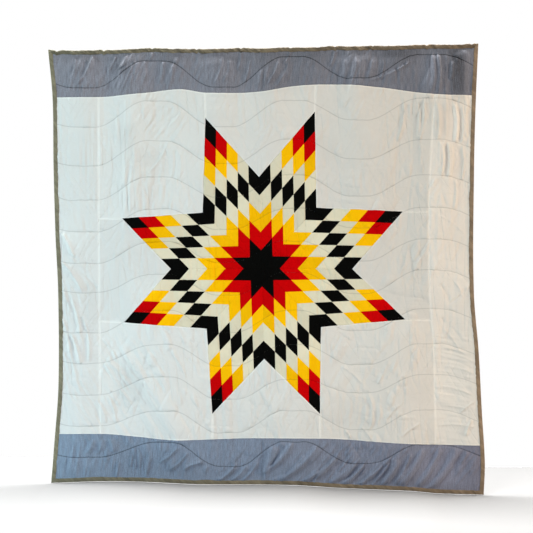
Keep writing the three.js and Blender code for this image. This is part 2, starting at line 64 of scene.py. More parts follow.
HELD = [  # x, z: where the top edge is held, with its two corners
    (-925, -7),
    (-888, -8),
    (-686, -6),
    (-477, 3),
    (-286, -1),
    (-95, 2),
    (118, 5),
    (310, 11),
    (473, 13),
    (705, 17),
    (899, 20),
    (929, 20),
]
BOTTOM_EDGE = [  # x, z
    (-912, -1871),
    (-700, -1864),
    (-480, -1868),
    (-270, -1877),
    (130, -1880),
    (330, -1893),
    (630, -1905),
    (750, -1916),
    (950, -1922),
]
LEFT_EDGE = [  # z, x
    (-7, -925),
    (-215, -906),
    (-500, -902),
    (-780, -894),
    (-1050, -881),
    (-1450, -880),
    (-1700, -898),
    (-1871, -912),
]
RIGHT_EDGE = [  # z, x
    (20, 927),
    (-240, 916),
    (-520, 909),
    (-1050, 907),
    (-1300, 927),
    (-1560, 941),
    (-1780, 954),
    (-1922, 950),
]
TOP_SEAM = [  # x, z
    (-1000, -212),
    (-700, -210),
    (-530, -196),
    (-357, -177),
    (-240, -193),
    (-10, -188),
    (130, -164),
    (300, -156),
    (510, -170),
    (735, -198),
    (1000, -203),
]
BOTTOM_SEAM = [  # x, z
    (-1000, -1662),
    (-700, -1660),
    (-530, -1674),
    (-380, -1686),
    (-10, -1679),
    (290, -1682),
    (510, -1696),
    (735, -1707),
    (1000, -1710),
]
LEFT_SEAM = [  # z, x
    (0, -709),
    (-950, -706),
    (-1900, -700),
]
RIGHT_SEAM = [  # z, x
    (0, 741),
    (-210, 735),
    (-611, 714),
    (-1041, 715),
    (-1300, 735),
    (-1900, 746),
]
BAND_JOINT_X = -4.0

# The star: the inner corner before each point, its tip, and the seam that leaves the tip
STAR_CENTRE = (-6.0, -948.0)
STAR = [  # corner x, corner z, tip x, tip z, border, place along the border
    (-17, -555, 223, -273, "top", 226),
    (229, -687, 601, -703, "right", -705),
    (383, -950, 611, -1167, "right", -1171),
    (249, -1200, 245, -1573, "bottom", 246),
    (5, -1336, -218, -1573, "bottom", -218),
    (-242, -1207, -597, -1180, "left", -1174),
    (-396, -950, -605, -733, "left", -735),
    (-259, -708, -247, -303, "top", -249),
]
PATCHES = 5                     # diamonds along a star point's side
PATCH_COLOURS = ["black", "red", "yellow", "cream", "black", "cream", "yellow", "red", "black"]

# The wavy quilting: each line's height at its dips and rises
WAVE_X = (-765, -464, -172, 129, 404, 706)
WAVE_DRIFT = (20, 40, 20, 0, 22, 0)
WAVE_FLAT = 0.13
WAVE_HALF = 415
QUILTING = [  # dip, rise, dip, rise, dip, rise
    (-172, -54, -169, -36, -130, -28),
    (-341, -226, -339, -223, -309, -215),
    (-507, -397, -497, -391, -477, -394),
    (-655, -553, -642, -545, -636, -547),
    (-791, -692, -779, -690, -774, -685),
    (-925, -833, -920, -829, -915, -821),
    (-1052, -973, -1063, -965, -1055, -955),
    (-1224, -1127, -1225, -1128, -1216, -1122),
    (-1356, -1276, -1369, -1276, -1362, -1273),
    (-1492, -1415, -1512, -1424, -1484, -1404),
    (-1626, -1561, -1656, -1559, -1643, -1556),
    (-1762, -1697, -1802, -1693, -1788, -1706),
]

# The long soft folds in which the quilt hangs
FOLDS = [  # x, z, foot x, foot z, width, depth
    (-660, -60, -640, -720, 62, -8),
    (-560, -90, -575, -800, 75, 13),
    (-395, -120, -455, -760, 80, -7),
    (-190, -60, -225, -620, 85, 9),
    (40, -80, 20, -560, 80, 7),
    (250, -60, 320, -700, 90, -8),
    (420, -60, 470, -820, 95, 9),
    (600, -70, 590, -900, 75, -9),
    (735, -70, 720, -1100, 70, 10),
    (850, -90, 850, -900, 62, -8),
    (-840, -780, -800, -1850, 80, 10),
    (-690, -900, -560, -1850, 100, -9),
    (-500, -1000, -330, -1820, 110, 12),
    (-150, -1250, -90, -1850, 110, -8),
    (120, -1180, 130, -1860, 120, 9),
    (400, -1100, 360, -1870, 105, -10),
    (600, -1150, 590, -1880, 95, 12),
    (800, -1150, 780, -1880, 80, -8),
    (905, -1000, 925, -1880, 65, 8),
]

# Small creases and ridges in the cloth, placed over the photograph. The ends and the width are in its
# pixels, and the lift in millimetres: a ridge, or a trough where it is negative.
CREASES = [  # x, y, end x, end y, width, lift
    (122, 352, 180, 446, 11, 2.1),
    (93, 56, 78, 84, 1.8, 2.2),
    (76, 60, 72, 78, 1.6, 0.8),
    (86, 62, 80, 84, 2.6, -1.4),
    (116, 56, 107, 72, 1.8, 1.0),
    (127, 56, 117, 72, 1.8, 1.1),
    (122, 58, 113, 74, 2.0, -0.9),
    (148, 63, 145, 84, 1.6, -0.8),
    (158, 63, 154, 84, 1.8, -0.9),
    (168, 64, 163, 84, 2.0, -1.0),
    (163, 62, 159, 84, 1.8, 0.8),
    (173, 66, 169, 84, 1.8, 0.8),
    (192, 61, 186, 76, 1.3, -1.6),
    (186, 76, 192, 84, 1.3, -1.4),
    (222, 58, 216, 82, 1.6, 0.7),
    (230, 60, 224, 82, 1.6, 0.6),
    (250, 60, 244, 84, 1.6, 0.7),
    (279, 60, 268, 84, 1.8, 0.9),
    (289, 60, 277, 86, 1.8, 0.9),
    (284, 60, 273, 85, 1.8, -0.8),
    (345, 60, 340, 80, 1.8, 0.8),
    (357, 60, 351, 82, 1.8, 0.8),
    (372, 60, 366, 80, 2.0, 0.9),
    (366, 60, 361, 80, 1.6, -0.7),
    (384, 60, 380, 78, 1.8, 0.8),
    (411, 61, 371, 80, 1.8, 1.6),
    (396, 68, 396, 85, 1.2, -1.6),
    (432, 54, 432, 90, 3.0, 1.8),
    (437.5, 54, 438, 92, 2.2, 1.6),
    (421, 56, 420, 84, 2.2, -1.6),
    (442, 56, 441, 80, 1.6, -1.5),
    (452, 62, 450, 80, 2.4, 1.2),
    (447, 60, 446, 84, 1.8, -1.0),
    (119, 103, 118, 152, 1.6, -1.0),
    (115.5, 108, 114, 150, 1.8, 0.5),
    (106, 124, 105, 158, 1.4, -0.5),
    (110, 130, 109, 200, 1.3, -0.5),
    (113, 132, 112, 160, 1.2, -0.4),
    (126, 128, 122, 152, 1.8, -0.8),
    (134, 124, 125, 150, 1.6, -0.8),
    (141, 120, 131, 146, 1.5, -0.7),
    (130, 134, 124, 152, 1.4, 0.5),
    (150, 110, 130, 137, 1.6, -0.7),
    (154, 112, 136, 140, 1.6, 0.6),
    (161, 106, 145, 132, 1.6, -0.7),
    (166, 108, 149, 132, 1.6, 0.6),
    (173, 107, 155, 127, 1.6, -0.8),
    (182, 111, 160, 133, 1.8, 0.6),
    (186, 113, 166, 140, 1.6, -0.7),
    (170, 119, 150, 129, 1.6, -1.0),
    (178, 113, 169, 120, 1.6, -0.8),
    (184, 122, 172, 142, 1.6, 0.5),
    (128, 148, 126, 187, 1.7, -1.4),
    (124.5, 150, 123, 186, 1.7, 0.6),
    (168, 143, 149, 172, 2.0, 1.1),
    (134, 142, 139, 162, 2.4, -0.9),
    (141, 150, 133, 172, 1.6, -0.5),
    (165, 148, 168, 178, 2.2, -0.8),
    (174.5, 150, 173, 178, 1.6, -0.7),
    (180, 154, 179, 180, 1.8, 0.5),
    (141, 181, 150, 208, 1.4, -0.6),
    (160, 181, 150, 208, 1.4, -0.6),
    (147, 180, 146, 206, 1.4, 0.4),
    (166, 180, 161, 210, 1.6, -0.5),
    (173, 182, 170, 208, 1.6, 0.4),
    (62, 234, 74, 258, 2.2, 2.3),
    (60, 248, 78, 262, 1.6, -1.7),
    (62, 262, 82, 292, 1.8, 2.0),
    (66, 258, 88, 290, 1.8, -1.8),
    (76, 268, 98, 292, 1.6, -1.3),
    (62, 290, 70, 312, 2.0, 1.3),
    (68, 296, 76, 330, 1.8, -1.4),
    (72, 300, 80, 335, 1.8, 1.3),
    (80, 318, 85, 362, 1.7, -2.2),
    (84, 320, 89, 360, 1.7, 1.2),
    (62, 318, 70, 352, 1.8, 1.8),
    (66, 330, 75, 362, 1.8, -2.0),
    (70, 332, 80, 364, 1.8, 1.6),
    (62, 345, 72, 372, 1.8, -1.3),
    (100, 338, 113, 362, 1.6, -1.0),
    (104, 340, 118, 364, 1.6, 0.9),
    (108, 362, 130, 388, 1.8, 1.2),
    (112, 360, 136, 384, 1.8, -1.3),
    (102, 366, 120, 398, 1.6, -1.0),
    (124, 374, 150, 412, 2.0, -1.2),
    (130, 372, 156, 408, 2.0, 1.0),
    (118, 388, 134, 412, 1.6, 0.9),
    (90, 398, 100, 424, 1.6, -1.0),
    (96, 398, 106, 424, 1.6, 0.9),
    (108, 396, 116, 424, 1.6, 1.0),
    (113, 400, 122, 422, 1.6, -1.1),
    (162, 326, 180, 352, 2.0, -1.6),
    (172, 324, 181, 350, 2.0, -2.0),
    (176, 326, 186, 350, 1.8, 1.2),
    (168, 350, 184, 388, 1.8, -1.7),
    (176, 350, 194, 386, 2.0, -2.0),
    (172, 352, 189, 388, 1.8, 1.3),
    (184, 350, 198, 376, 1.8, 0.8),
    (190, 340, 202, 364, 1.8, -0.9),
    (183, 388, 208, 428, 2.2, 0.9),
    (176, 380, 186, 420, 1.8, -0.8),
    (144, 346, 146, 380, 1.6, -0.6),
    (132, 356, 150, 400, 2.2, 0.7),
    (375, 398, 374, 430, 1.7, -1.5),
    (370.5, 398, 371, 428, 1.6, 1.1),
    (384, 392, 380, 426, 1.7, -1.4),
    (379.5, 394, 377, 426, 1.6, 0.9),
    (364, 396, 364, 426, 1.8, 0.8),
    (352, 396, 351, 420, 1.8, -0.7),
    (408.5, 376, 408, 408, 1.8, -1.5),
    (404.5, 376, 404, 408, 1.8, 0.9),
    (414, 378, 415, 402, 1.8, -1.3),
    (388, 360, 376, 386, 1.8, 0.9),
    (382, 362, 371, 386, 1.8, -0.8),
    (398, 352, 386, 380, 1.8, 0.8),
    (441, 352, 476, 363, 1.1, 1.0),
    (438, 357, 474, 370, 1.0, -0.7),
    (438, 386, 474, 396, 1.2, 1.1),
    (437, 392, 476, 402, 1.1, -0.9),
    (440, 380, 470, 384, 1.0, -0.6),
    (444, 366, 474, 374, 1.1, 0.7),
    (437, 426, 476, 427.5, 1.1, 1.0),
    (438, 421, 476, 416, 1.0, -0.6),
    (440, 406, 474, 412, 1.1, 0.5),
    (448, 112, 447, 143, 2.8, -1.4),
    (455, 104, 455, 143, 2.7, 1.9),
    (462, 106, 462, 143, 1.8, 1.9),
    (451.5, 106, 451, 143, 1.6, -1.4),
    (458.5, 106, 458.5, 143, 1.5, -1.6),
    (467, 112, 467, 145, 1.6, -1.6),
    (441, 104, 441, 142, 1.7, -1.8),
    (437, 104, 436.5, 142, 1.7, 1.4),
    (428, 104, 426, 142, 1.8, -0.9),
    (418, 104, 416, 142, 2.0, 0.9),
    (408, 108, 404, 142, 2.0, -0.8),
    (441, 142, 441, 176, 1.6, 1.4),
    (446, 142, 445, 177, 1.6, -1.4),
    (451, 143, 450, 178, 1.6, 1.4),
    (457, 144, 456, 179, 1.6, -1.4),
    (462, 145, 462, 180, 1.6, 1.4),
    (413, 144, 410, 178, 1.7, -0.8),
    (420, 142, 418, 176, 1.7, 0.8),
    (340, 170.5, 398, 168.5, 1.6, -0.7),
    (431, 196, 440, 181, 1.5, -1.2),
    (436, 206, 443, 184, 1.5, -1.2),
    (427, 194, 437, 178, 1.6, 0.9),
    (456, 180, 455, 208, 1.8, 0.7),
    (430, 238, 418, 262, 2.0, 1.0),
    (424, 240, 411, 266, 2.0, -1.0),
    (408, 243, 401, 272, 2.0, 0.8),
    (434, 242, 424, 264, 1.8, -0.9),
    (462, 236, 452, 262, 1.8, -0.8),
    (440, 284, 449, 302, 1.5, -1.2),
    (466, 288, 449, 304, 1.6, -1.2),
    (455, 282, 462, 296, 1.6, 0.9),
    (472, 276, 466, 290, 1.6, 1.0),
    (445, 330, 460, 352, 1.6, 0.8),
    (441, 318, 449, 332, 1.6, -0.9),
    (111, 457, 102, 475, 1.3, -2.0),
    (122.5, 452, 122, 476, 1.1, -1.2),
    (135, 446, 136, 477, 1.1, -1.4),
    (93, 440, 88, 452, 2.6, 1.0),
    (86, 440, 84, 452, 1.8, -0.8),
    (102, 440, 98, 454, 1.8, 0.8),
    (110, 440, 113, 452, 2.2, 1.1),
    (118, 462, 116, 478, 1.8, 0.9),
    (178, 447, 160, 462, 2.2, 1.3),
    (173, 446, 158, 458, 1.8, -1.0),
    (188, 452, 172, 468, 2.0, 0.9),
    (182, 470, 205, 462, 2.0, 1.0),
    (150, 462, 148, 476, 1.8, -0.8),
    (236, 464, 216, 482, 1.8, 1.4),
    (231, 463, 214, 478, 1.6, -1.2),
    (246, 466, 228, 483, 1.8, 1.3),
    (241, 466, 223, 482, 1.6, -1.0),
    (258, 462, 240, 483, 1.8, 1.0),
    (273, 446, 262, 474, 3.0, 1.7),
    (281, 446, 268, 472, 2.2, -1.3),
    (292, 442, 264, 473, 2.6, 1.8),
    (299, 444, 272, 478, 2.4, -1.5),
    (318, 446, 281, 479, 3.0, 2.1),
    (309, 446, 284, 470, 2.0, -1.2),
    (326, 448, 300, 474, 2.4, -1.6),
    (340, 455, 302, 481, 2.8, 1.9),
    (346, 458, 316, 480, 2.0, -1.4),
    (354, 464, 330, 482, 2.4, 1.5),
    (359, 466, 338, 483, 1.9, -1.4),
    (365, 464, 342, 484, 2.2, 1.7),
    (371, 466, 352, 484, 1.9, -1.4),
    (392, 455, 357, 485, 2.8, 2.0),
    (384, 464, 366, 485, 1.9, -1.6),
    (397, 460, 382, 484, 2.4, 1.9),
    (391.5, 460, 377, 484, 1.8, -1.5),
    (403, 458, 391, 485, 1.9, -1.7),
    (422, 450, 400, 484, 3.2, 2.3),
    (411, 452, 394, 484, 1.8, 1.2),
    (429, 450, 408, 484, 2.2, -1.7),
    (440, 448, 418, 485, 2.8, 1.8),
    (446, 450, 425, 486, 2.2, -1.4),
    (456, 450, 432, 487, 3.0, 1.8),
    (463, 452, 447, 482, 2.4, -1.2),
    (467, 450, 454, 474, 2.4, 1.1),
    (447, 340, 451, 326, 1.0, -1.3),
    (452, 328, 463, 344, 1.0, -1.4),
    (444, 348, 466, 354, 1.0, 1.2),
    (397, 408, 428, 402, 1.2, -1.2),
    (386, 420, 404, 402, 1.0, 1.1),
    (345, 430, 350, 438, 1.2, 1.4),
    (352, 424, 346, 438, 1.0, -1.2),
    (362, 428, 371, 440, 1.2, 1.2),
    (386, 428, 398, 440, 1.2, -1.2),
    (402, 436, 420, 424, 1.1, 1.3),
    (410, 430, 432, 434, 1.0, -1.2),
    (466, 436, 472, 420, 1.4, 1.6),
    (460, 414, 474, 402, 1.0, 1.3),
    (340, 334, 356, 348, 1.2, -1.1),
    (345, 350, 378, 349, 1.0, -1.0),
    (341, 366, 362, 384, 1.2, 1.0),
    (404, 98, 398, 140, 1.6, 1.3),
    (412, 100, 405, 142, 1.2, -1.3),
    (420, 102, 413, 126, 1.2, -1.4),
    (424, 101, 419, 142, 1.6, 1.3),
    (398, 146, 392, 176, 1.8, -1.2),
    (424, 143, 421, 176, 1.5, 1.3),
    (444, 146, 443, 176, 2.3, -1.2),
    (448, 144, 448, 176, 1.8, 2.1),
    (453, 143, 452, 176, 2.3, -1.3),
    (455, 178, 454, 208, 1.4, 1.2),
    (440, 216, 465, 234, 1.0, 0.9),
    (418, 232, 430, 218, 1.1, -0.9),
    (446, 205, 441, 178, 1.6, -1.0),
    (466, 112, 466, 50, 9.0, 2.4),
    (471, 150, 467, 100, 3.0, 1.1),
    (106, 81, 133, 62.5, 1.3, -1.8),
    (105, 56, 105, 84, 1.0, -1.2),
    (135, 54, 135, 62, 1.0, -1.3),
    (132.5, 66, 132, 90, 0.8, -1.0),
    (195, 50, 194, 66, 1.0, -1.6),
    (262.3, 52, 262.3, 88, 0.9, -1.8),
    (262, 444, 261, 479, 0.9, -1.8),
    (384.5, 52, 384, 70, 0.9, -1.4),
    (306, 66, 307, 87, 1.3, -0.8),
    (241, 50, 238, 70, 1.6, 1.0),
    (152, 51, 150, 60, 1.2, 1.2),
    (290, 52, 284, 64, 1.3, 1.2),
    (335, 50, 330, 66, 1.4, 1.1),
]

# Patches of fine puckers: where they are, how they run, and how deep they are
PUCKERS = [  # x, z, reach x, reach z, angle from upright in degrees, wavelength, length, height
    (-560, -560, 170, 420, 0, 19, 150, 0.6),
    (-770, -430, 160, 330, 0, 17, 160, 0.45),
    (-480, -330, 110, 90, -35, 22, 110, 0.9),
    (-480, -620, 120, 90, -5, 16, 60, 0.9),
    (-850, -1200, 70, 420, 14, 22, 110, 1.1),
    (-600, -1450, 190, 230, 32, 22, 100, 0.9),
    (-380, -1280, 120, 170, 22, 26, 130, 0.9),
    (740, -420, 190, 330, 0, 19, 150, 0.9),
    (600, -560, 140, 260, -6, 24, 160, 0.6),
    (700, -860, 120, 140, -28, 22, 100, 0.7),
    (820, -1430, 110, 250, 82, 20, 120, 0.5),
    (520, -1520, 170, 180, -8, 22, 130, 0.8),
    (100, -1500, 230, 150, -20, 26, 90, 0.5),
    (-560, -130, 340, 90, -24, 15, 80, 0.7),
    (300, -120, 420, 90, -14, 15, 80, 0.6),
    (780, -110, 140, 90, 0, 18, 90, 0.8),
    (-560, -1790, 380, 100, -8, 18, 80, 0.7),
    (480, -1810, 520, 100, -38, 19, 120, 1.1),
    (0, -950, 420, 420, 0, 24, 80, 0.35),
]

# Families of small sharp creases over the white cloth
CRINKLES = [  # angle from upright in degrees, spacing, length, height
    (3, 34, 230, 3.4),
    (31, 38, 190, 2.5),
    (-29, 38, 190, 2.7),
    (84, 36, 150, 1.7),
]
CRINKLE_SHARPNESS = 4.5
CRINKLE_WANDER = 0.5            # share of the height that rises and falls between the creases
CRINKLE_SHIFT = (43, 29)        # keeps the families apart in the noise
CRINKLE_PATCH = (170.0, 150.0)  # size of the patches that they lie in
CRINKLE_PATCH_SHIFT = (11, 5)
CRINKLE_COVER = 0.45            # how much of the cloth they cover
CRINKLE_CONTRAST = 1.3
CRINKLE_LEAST = 0.55            # their share at the upper left, where the cloth is smoothest
CRINKLE_MORE = 0.5              # what they gain to the right and towards the foot
CRINKLE_MOST = 1.3
CRINKLE_FROM = (-250, -900)     # where that gain starts: x, z
CRINKLE_OVER = (700, 600)       # and how far it takes
CRINKLE_INNER = 0.8             # what they gain between the two side seams
CRINKLE_SEAM_BLEND = 30

# Relief of the quilted cloth
CREASE_GAIN = 3.6
CREASE_BEND = 0.05
UPRIGHT_GAIN = 0.8              # the folds that the cloth hangs in are its deepest
CREASE_SIDES = (1.4, 2.6)       # how fast a crease falls off on its two sides
CREASE_CROWN = 1.15             # the power that rounds its top
CREASE_TAPER = 0.22             # share of its length that its ends take to run out
CREASE_BLUNT = 0.35             # what is left of it at its very end
CREASE_REACH = 3                # its effect ends this many widths away
PUCKER_GAIN = 5.6
PUCKER_SHIFT = (31, 17)         # keeps the patches apart in the noise
PUCKER_BESIDE = (0.75, 0.5)     # their share anywhere, and what they gain beside a line of quilting
RIDGE_SHARPNESS = 5.0
RIDGE_SPACING = (12.0, 60.0)
RIDGE_DEPTH = 0.7
FINE_SPACING = (16.0, 42.0)
FINE_SHIFT = 50
FINE_HEIGHT = 0.35
FINE_BESIDE = (0.35, 1.1)
BESIDE_REACH = 16.0
BROAD_SPACING = (45.0, 60.0)
BROAD_SHIFT = (9, 3)
BROAD_HEIGHT = 0.5
TOP_BAND_GAIN = 1.55            # the bands' thin cloth is drawn up more than the white
BOTTOM_BAND_GAIN = 2.6
BAND_BLEND = 12                 # that change takes place over this width
BAND_GAIN_LEAST = 1.05          # a larger gain than this lies in a band
LINE_DIP = 2.2
LINE_REACH = 1.4
LINE_WANDER = 2.6               # hand-sewn lines are a little uneven
LINE_JITTER = 0.8
TOP_GATHER = 1.6
HELD_NOTCH = 5.0
HELD_NOTCH_HALF = 6.0
DRAWN_SPACING = (5.0, 30.0)     # the stitches draw the cloth in unevenly
DRAWN_UNEVEN = 0.8
DRAWN_IN_BAND = 0.5
TAPE_PUCKER = 2.4               # puckers in the cloth where the binding draws it up
TAPE_SPACING = (7.5, 60.0)
TAPE_REACH = 10.0
TAPE_REACH_IN_BAND = 20.0
TAPE_REACH_LIMIT = 60
TAPE_COVER = 3                  # relief fades out over the last few millimetres before the tape
TAPE_BLEND = 10.0
LEAST_HALF = 0.5
RELIEF_CAP = 9.0
FRONT_LIMIT = -28.3             # the face's foremost place, within what the model's box allows
STITCH_HALF = 1.5               # half the cloth's thickness on a line of stitches
PUFF = 3.4                      # what half the wadding adds between two lines
EDGE_RISE = 55.0                # how far in from its edge the wadding is full
PUFF_REACH = 6.0                # how soon the cloth rises beside a line
WIDEST_CHANNEL = 200
CROWN = (0.72, 0.28)            # the wadding's share beside a line, and what the middle adds
SEAM_DIP = 1.1
SEAM_REACH = 2.0
ALLOWANCE_LIFT = 0.45           # the folded seam allowance under a piece's edge
ALLOWANCE_WIDTH = 4.6
ALLOWANCE_EDGE = 2.0
PATCH_PUFF = 0.55               # each diamond swells a little
PATCH_RISE = 7.0
PATCH_LIMIT = 60
PATCH_DIP = 0.75                # and its seams are sunk
PATCH_DIP_REACH = 1.6
BACK_PUCKER = 0.8
BACK_SHIFT = 400                # the back's puckers aren't the face's
BACK_PUFF = 0.9

# Mesh spacing
EDGE_STEP = 4.0
SEAM_WANDER = 1.3
SEAM_WANDER_LENGTH = 45.0
FRONT_STEP = 4.4
BACK_STEP = 11.0
RINGS = (1.3, 3.2, 6.6)         # rows of points beside a seam
LINE_ROWS = (-4.4, -1.7, 0.0, 1.7, 4.4)
BACK_LINE_ROWS = (-5.0, 0.0, 5.0)
PATCH_ROOM = 0.9                # least distance between points along a diamond's seam
RING_ROOM = 1.0                 # along a ring
RING_KEEP = 0.85                # a ring's point is kept at this share of its distance from the seam
LINE_ROOM = 1.2                 # along the quilting
FRONT_ROOM = 2.6
BACK_LINE_ROOM = 2.0
BACK_ROOM = 5.0
FAR_AWAY = 1e3                  # stands for no seam or line near

# The photograph's frame
IMAGE_PIXELS = 533
MM_PER_PIXEL = 4.3
ORIGIN_PIXEL = (263, 48)        # where the frame's origin lies in the photograph
CAMERA_CENTRE = (15.0, -939.6)  # what lies in the middle of the picture: x, z
CAMERA_DISTANCE = 6400.0
SENSOR_WIDTH = 36.0


def from_photo(px, py):
    return (px - ORIGIN_PIXEL[0]) * MM_PER_PIXEL, (ORIGIN_PIXEL[1] - py) * MM_PER_PIXEL


def smooth(t):
    s = np.clip(t, 0, 1)
    return s * s * (3 - 2 * s)


# Smooth noise from a fixed lattice of random numbers
NOISE_SIZE = 256
NOISE = np.random.default_rng(7).uniform(-1, 1, (NOISE_SIZE, NOISE_SIZE))


def noise(u, v):
    iu, iv = np.floor(u).astype(int), np.floor(v).astype(int)
    fu, fv = smooth(u - iu), smooth(v - iv)
    a, b = iu % NOISE_SIZE, (iu + 1) % NOISE_SIZE
    c, d = iv % NOISE_SIZE, (iv + 1) % NOISE_SIZE
    top = NOISE[a, c] * (1 - fu) + NOISE[b, c] * fu
    bottom = NOISE[a, d] * (1 - fu) + NOISE[b, d] * fu
    return top * (1 - fv) + bottom * fv


def along_table(table, at):
    """A smooth curve through a table's points, as in the model's source."""
    table = np.array(table, float)
    at = np.asarray(at, float)
    keys, values = table[:, 0], table[:, 1]
    sign = 1.0 if keys[-1] > keys[0] else -1.0
    last = len(keys) - 1
    i = np.clip(np.searchsorted(sign * keys, sign * at, side="left") - 1, 0, last - 1)
    before, after = np.maximum(i - 1, 0), np.minimum(i + 2, last)
    span = keys[i + 1] - keys[i]
    t = np.clip((at - keys[i]) / span, 0, 1)
    slope_a = (values[i + 1] - values[before]) / (keys[i + 1] - keys[before])
    slope_b = (values[after] - values[i]) / (keys[after] - keys[i])
    t2, t3 = t * t, t * t * t
    return (
        (2 * t3 - 3 * t2 + 1) * values[i]
        + (t3 - 2 * t2 + t) * span * slope_a
        + (3 * t2 - 2 * t3) * values[i + 1]
        + (t3 - t2) * span * slope_b
    )


def curve_of(table):
    return lambda at: along_table(table, at)


left_edge = curve_of(LEFT_EDGE)
right_edge = curve_of(RIGHT_EDGE)
bottom_edge = curve_of(BOTTOM_EDGE)
top_seam = curve_of(TOP_SEAM)
bottom_seam = curve_of(BOTTOM_SEAM)
left_seam = curve_of(LEFT_SEAM)
right_seam = curve_of(RIGHT_SEAM)


def held_span(x):
    """Heights of the held places on either side, the share of the way between, and whether both hold."""
    held = np.array(HELD, float)
    i = np.clip(np.searchsorted(held[:, 0], x, side="left") - 1, 0, len(held) - 2)
    t = np.clip((x - held[i, 0]) / (held[i + 1, 0] - held[i, 0]), 0, 1)
    slack = (i > 0) & (i < len(held) - 2)
    return held[i, 1], held[i + 1, 1], t, slack


def top_edge(x):
    x = np.asarray(x, float)
    a, b, t, slack = held_span(x)
    gathers = TOP_GATHER * (noise(x / 26.0, x * 0 + 2.3) + 0.5 * noise(x / 9.0, x * 0 + 6.1))
    for held_x, _ in HELD[1:-1]:
        gathers = gathers - HELD_NOTCH * np.exp(-((x - held_x) / HELD_NOTCH_HALF) ** 2)
    return a + (b - a) * t - np.where(slack, HELD_SAG * 4 * t * (1 - t), 0) + gathers


def raw_swell(x, z):
    _, _, t, slack = held_span(x)
    drop = np.maximum(top_edge(x) - z, 0)
    opened = EDGE_BELLY + (1 - EDGE_BELLY) * smooth(drop / BELLY_START)
    belly = HELD_BELLY * np.sin(np.pi * t) ** 2 * opened * np.exp(-drop / BELLY_REACH)
    depth = np.where(slack, belly, 0)
    for fold_x, fold_z, foot_x, foot_z, width, lift in FOLDS:
        along = np.clip((z - fold_z) / (foot_z - fold_z), 0, 1)
        across = (x - (fold_x + (foot_x - fold_x) * along)) / width
        start = smooth((fold_z - z) / FOLD_FADE + 0.5)
        end = smooth((z - foot_z) / FOLD_FADE + 0.5)
        depth = depth + lift * np.exp(-across * across) * start * end
    return depth


# Where the model's own middle of the top edge lies, which is the origin
ORIGIN_SWELL = raw_swell(np.zeros(1), np.zeros(1))[0]


def swell(x, z):
    """How far the middle of the cloth stands forward of the mount."""
    return raw_swell(x, z) - ORIGIN_SWELL


def quilting_height(index, x):
    line = QUILTING[index]
    down = index / (len(QUILTING) - 1)
    turn_x = [wx + drift * down for wx, drift in zip(WAVE_X, WAVE_DRIFT)]
    turn_x = np.array([turn_x[0] - WAVE_HALF, *turn_x, turn_x[-1] + WAVE_HALF], float)
    turn_z = np.array([line[1], *line, line[-2]], float)
    i = np.clip(np.searchsorted(turn_x, x, side="left") - 1, 0, len(turn_x) - 2)
    t = (x - turn_x[i]) / (turn_x[i + 1] - turn_x[i])
    eased = smooth((t - WAVE_FLAT) / (1 - 2 * WAVE_FLAT))
    uneven = LINE_WANDER * noise(x / 70.0, index * 3.7 + 0.4) + LINE_JITTER * noise(x / 17.0, index * 5.3)
    return turn_z[i] + (turn_z[i + 1] - turn_z[i]) * eased + uneven


def quilting_distances(x, z):
    """Distance to the nearest line above and below, and to the nearest of all, in mm."""
    nearest = np.full(x.shape, FAR_AWAY)
    above = nearest.copy()
    below = nearest.copy()
    for index in range(len(QUILTING)):
        height = quilting_height(index, x)
        slope = (quilting_height(index, x + 2) - quilting_height(index, x - 2)) / 4
        gap = (height - z) / np.sqrt(1 + slope * slope)
        above = np.where(gap >= 0, np.minimum(above, gap), above)
        below = np.where(gap < 0, np.minimum(below, -gap), below)
        nearest = np.minimum(nearest, np.abs(gap))
    return above, below, nearest


def border_distance(x, z):
    """Distance in from the quilt's outline."""
    sides = np.minimum(x - left_edge(z), right_edge(z) - x)
    ends = np.minimum(top_edge(x) - z, z - bottom_edge(x))
    return np.minimum(sides, ends)


def creases(x, z):
    lift = np.zeros(x.shape)
    for start_px, start_py, end_px, end_py, width_px, height in CREASES:
        x0, z0 = from_photo(start_px, start_py)
        x1, z1 = from_photo(end_px, end_py)
        width = width_px * MM_PER_PIXEL
        length = math.hypot(x1 - x0, z1 - z0)
        ux, uz = (x1 - x0) / length, (z1 - z0) / length
        reach = CREASE_REACH * width
        near = (
            (x > min(x0, x1) - reach) & (x < max(x0, x1) + reach)
            & (z > min(z0, z1) - reach) & (z < max(z0, z1) + reach)
        )
        if not near.any():
            continue
        dx, dz = x[near] - x0, z[near] - z0
        along = (dx * ux + dz * uz) / length
        bend = CREASE_BEND * length * np.sin(np.pi * np.clip(along, 0, 1))
        across = (dx * -uz + dz * ux - bend) / width
        taper = smooth(along / CREASE_TAPER + CREASE_BLUNT)
        taper = taper * smooth((1 - along) / CREASE_TAPER + CREASE_BLUNT)
        fall = np.where(across > 0, *CREASE_SIDES)
        gain = CREASE_GAIN * (1 + UPRIGHT_GAIN * uz * uz)
        lift[near] += gain * height * np.exp(-fall * np.abs(across) ** CREASE_CROWN) * taper
    return lift


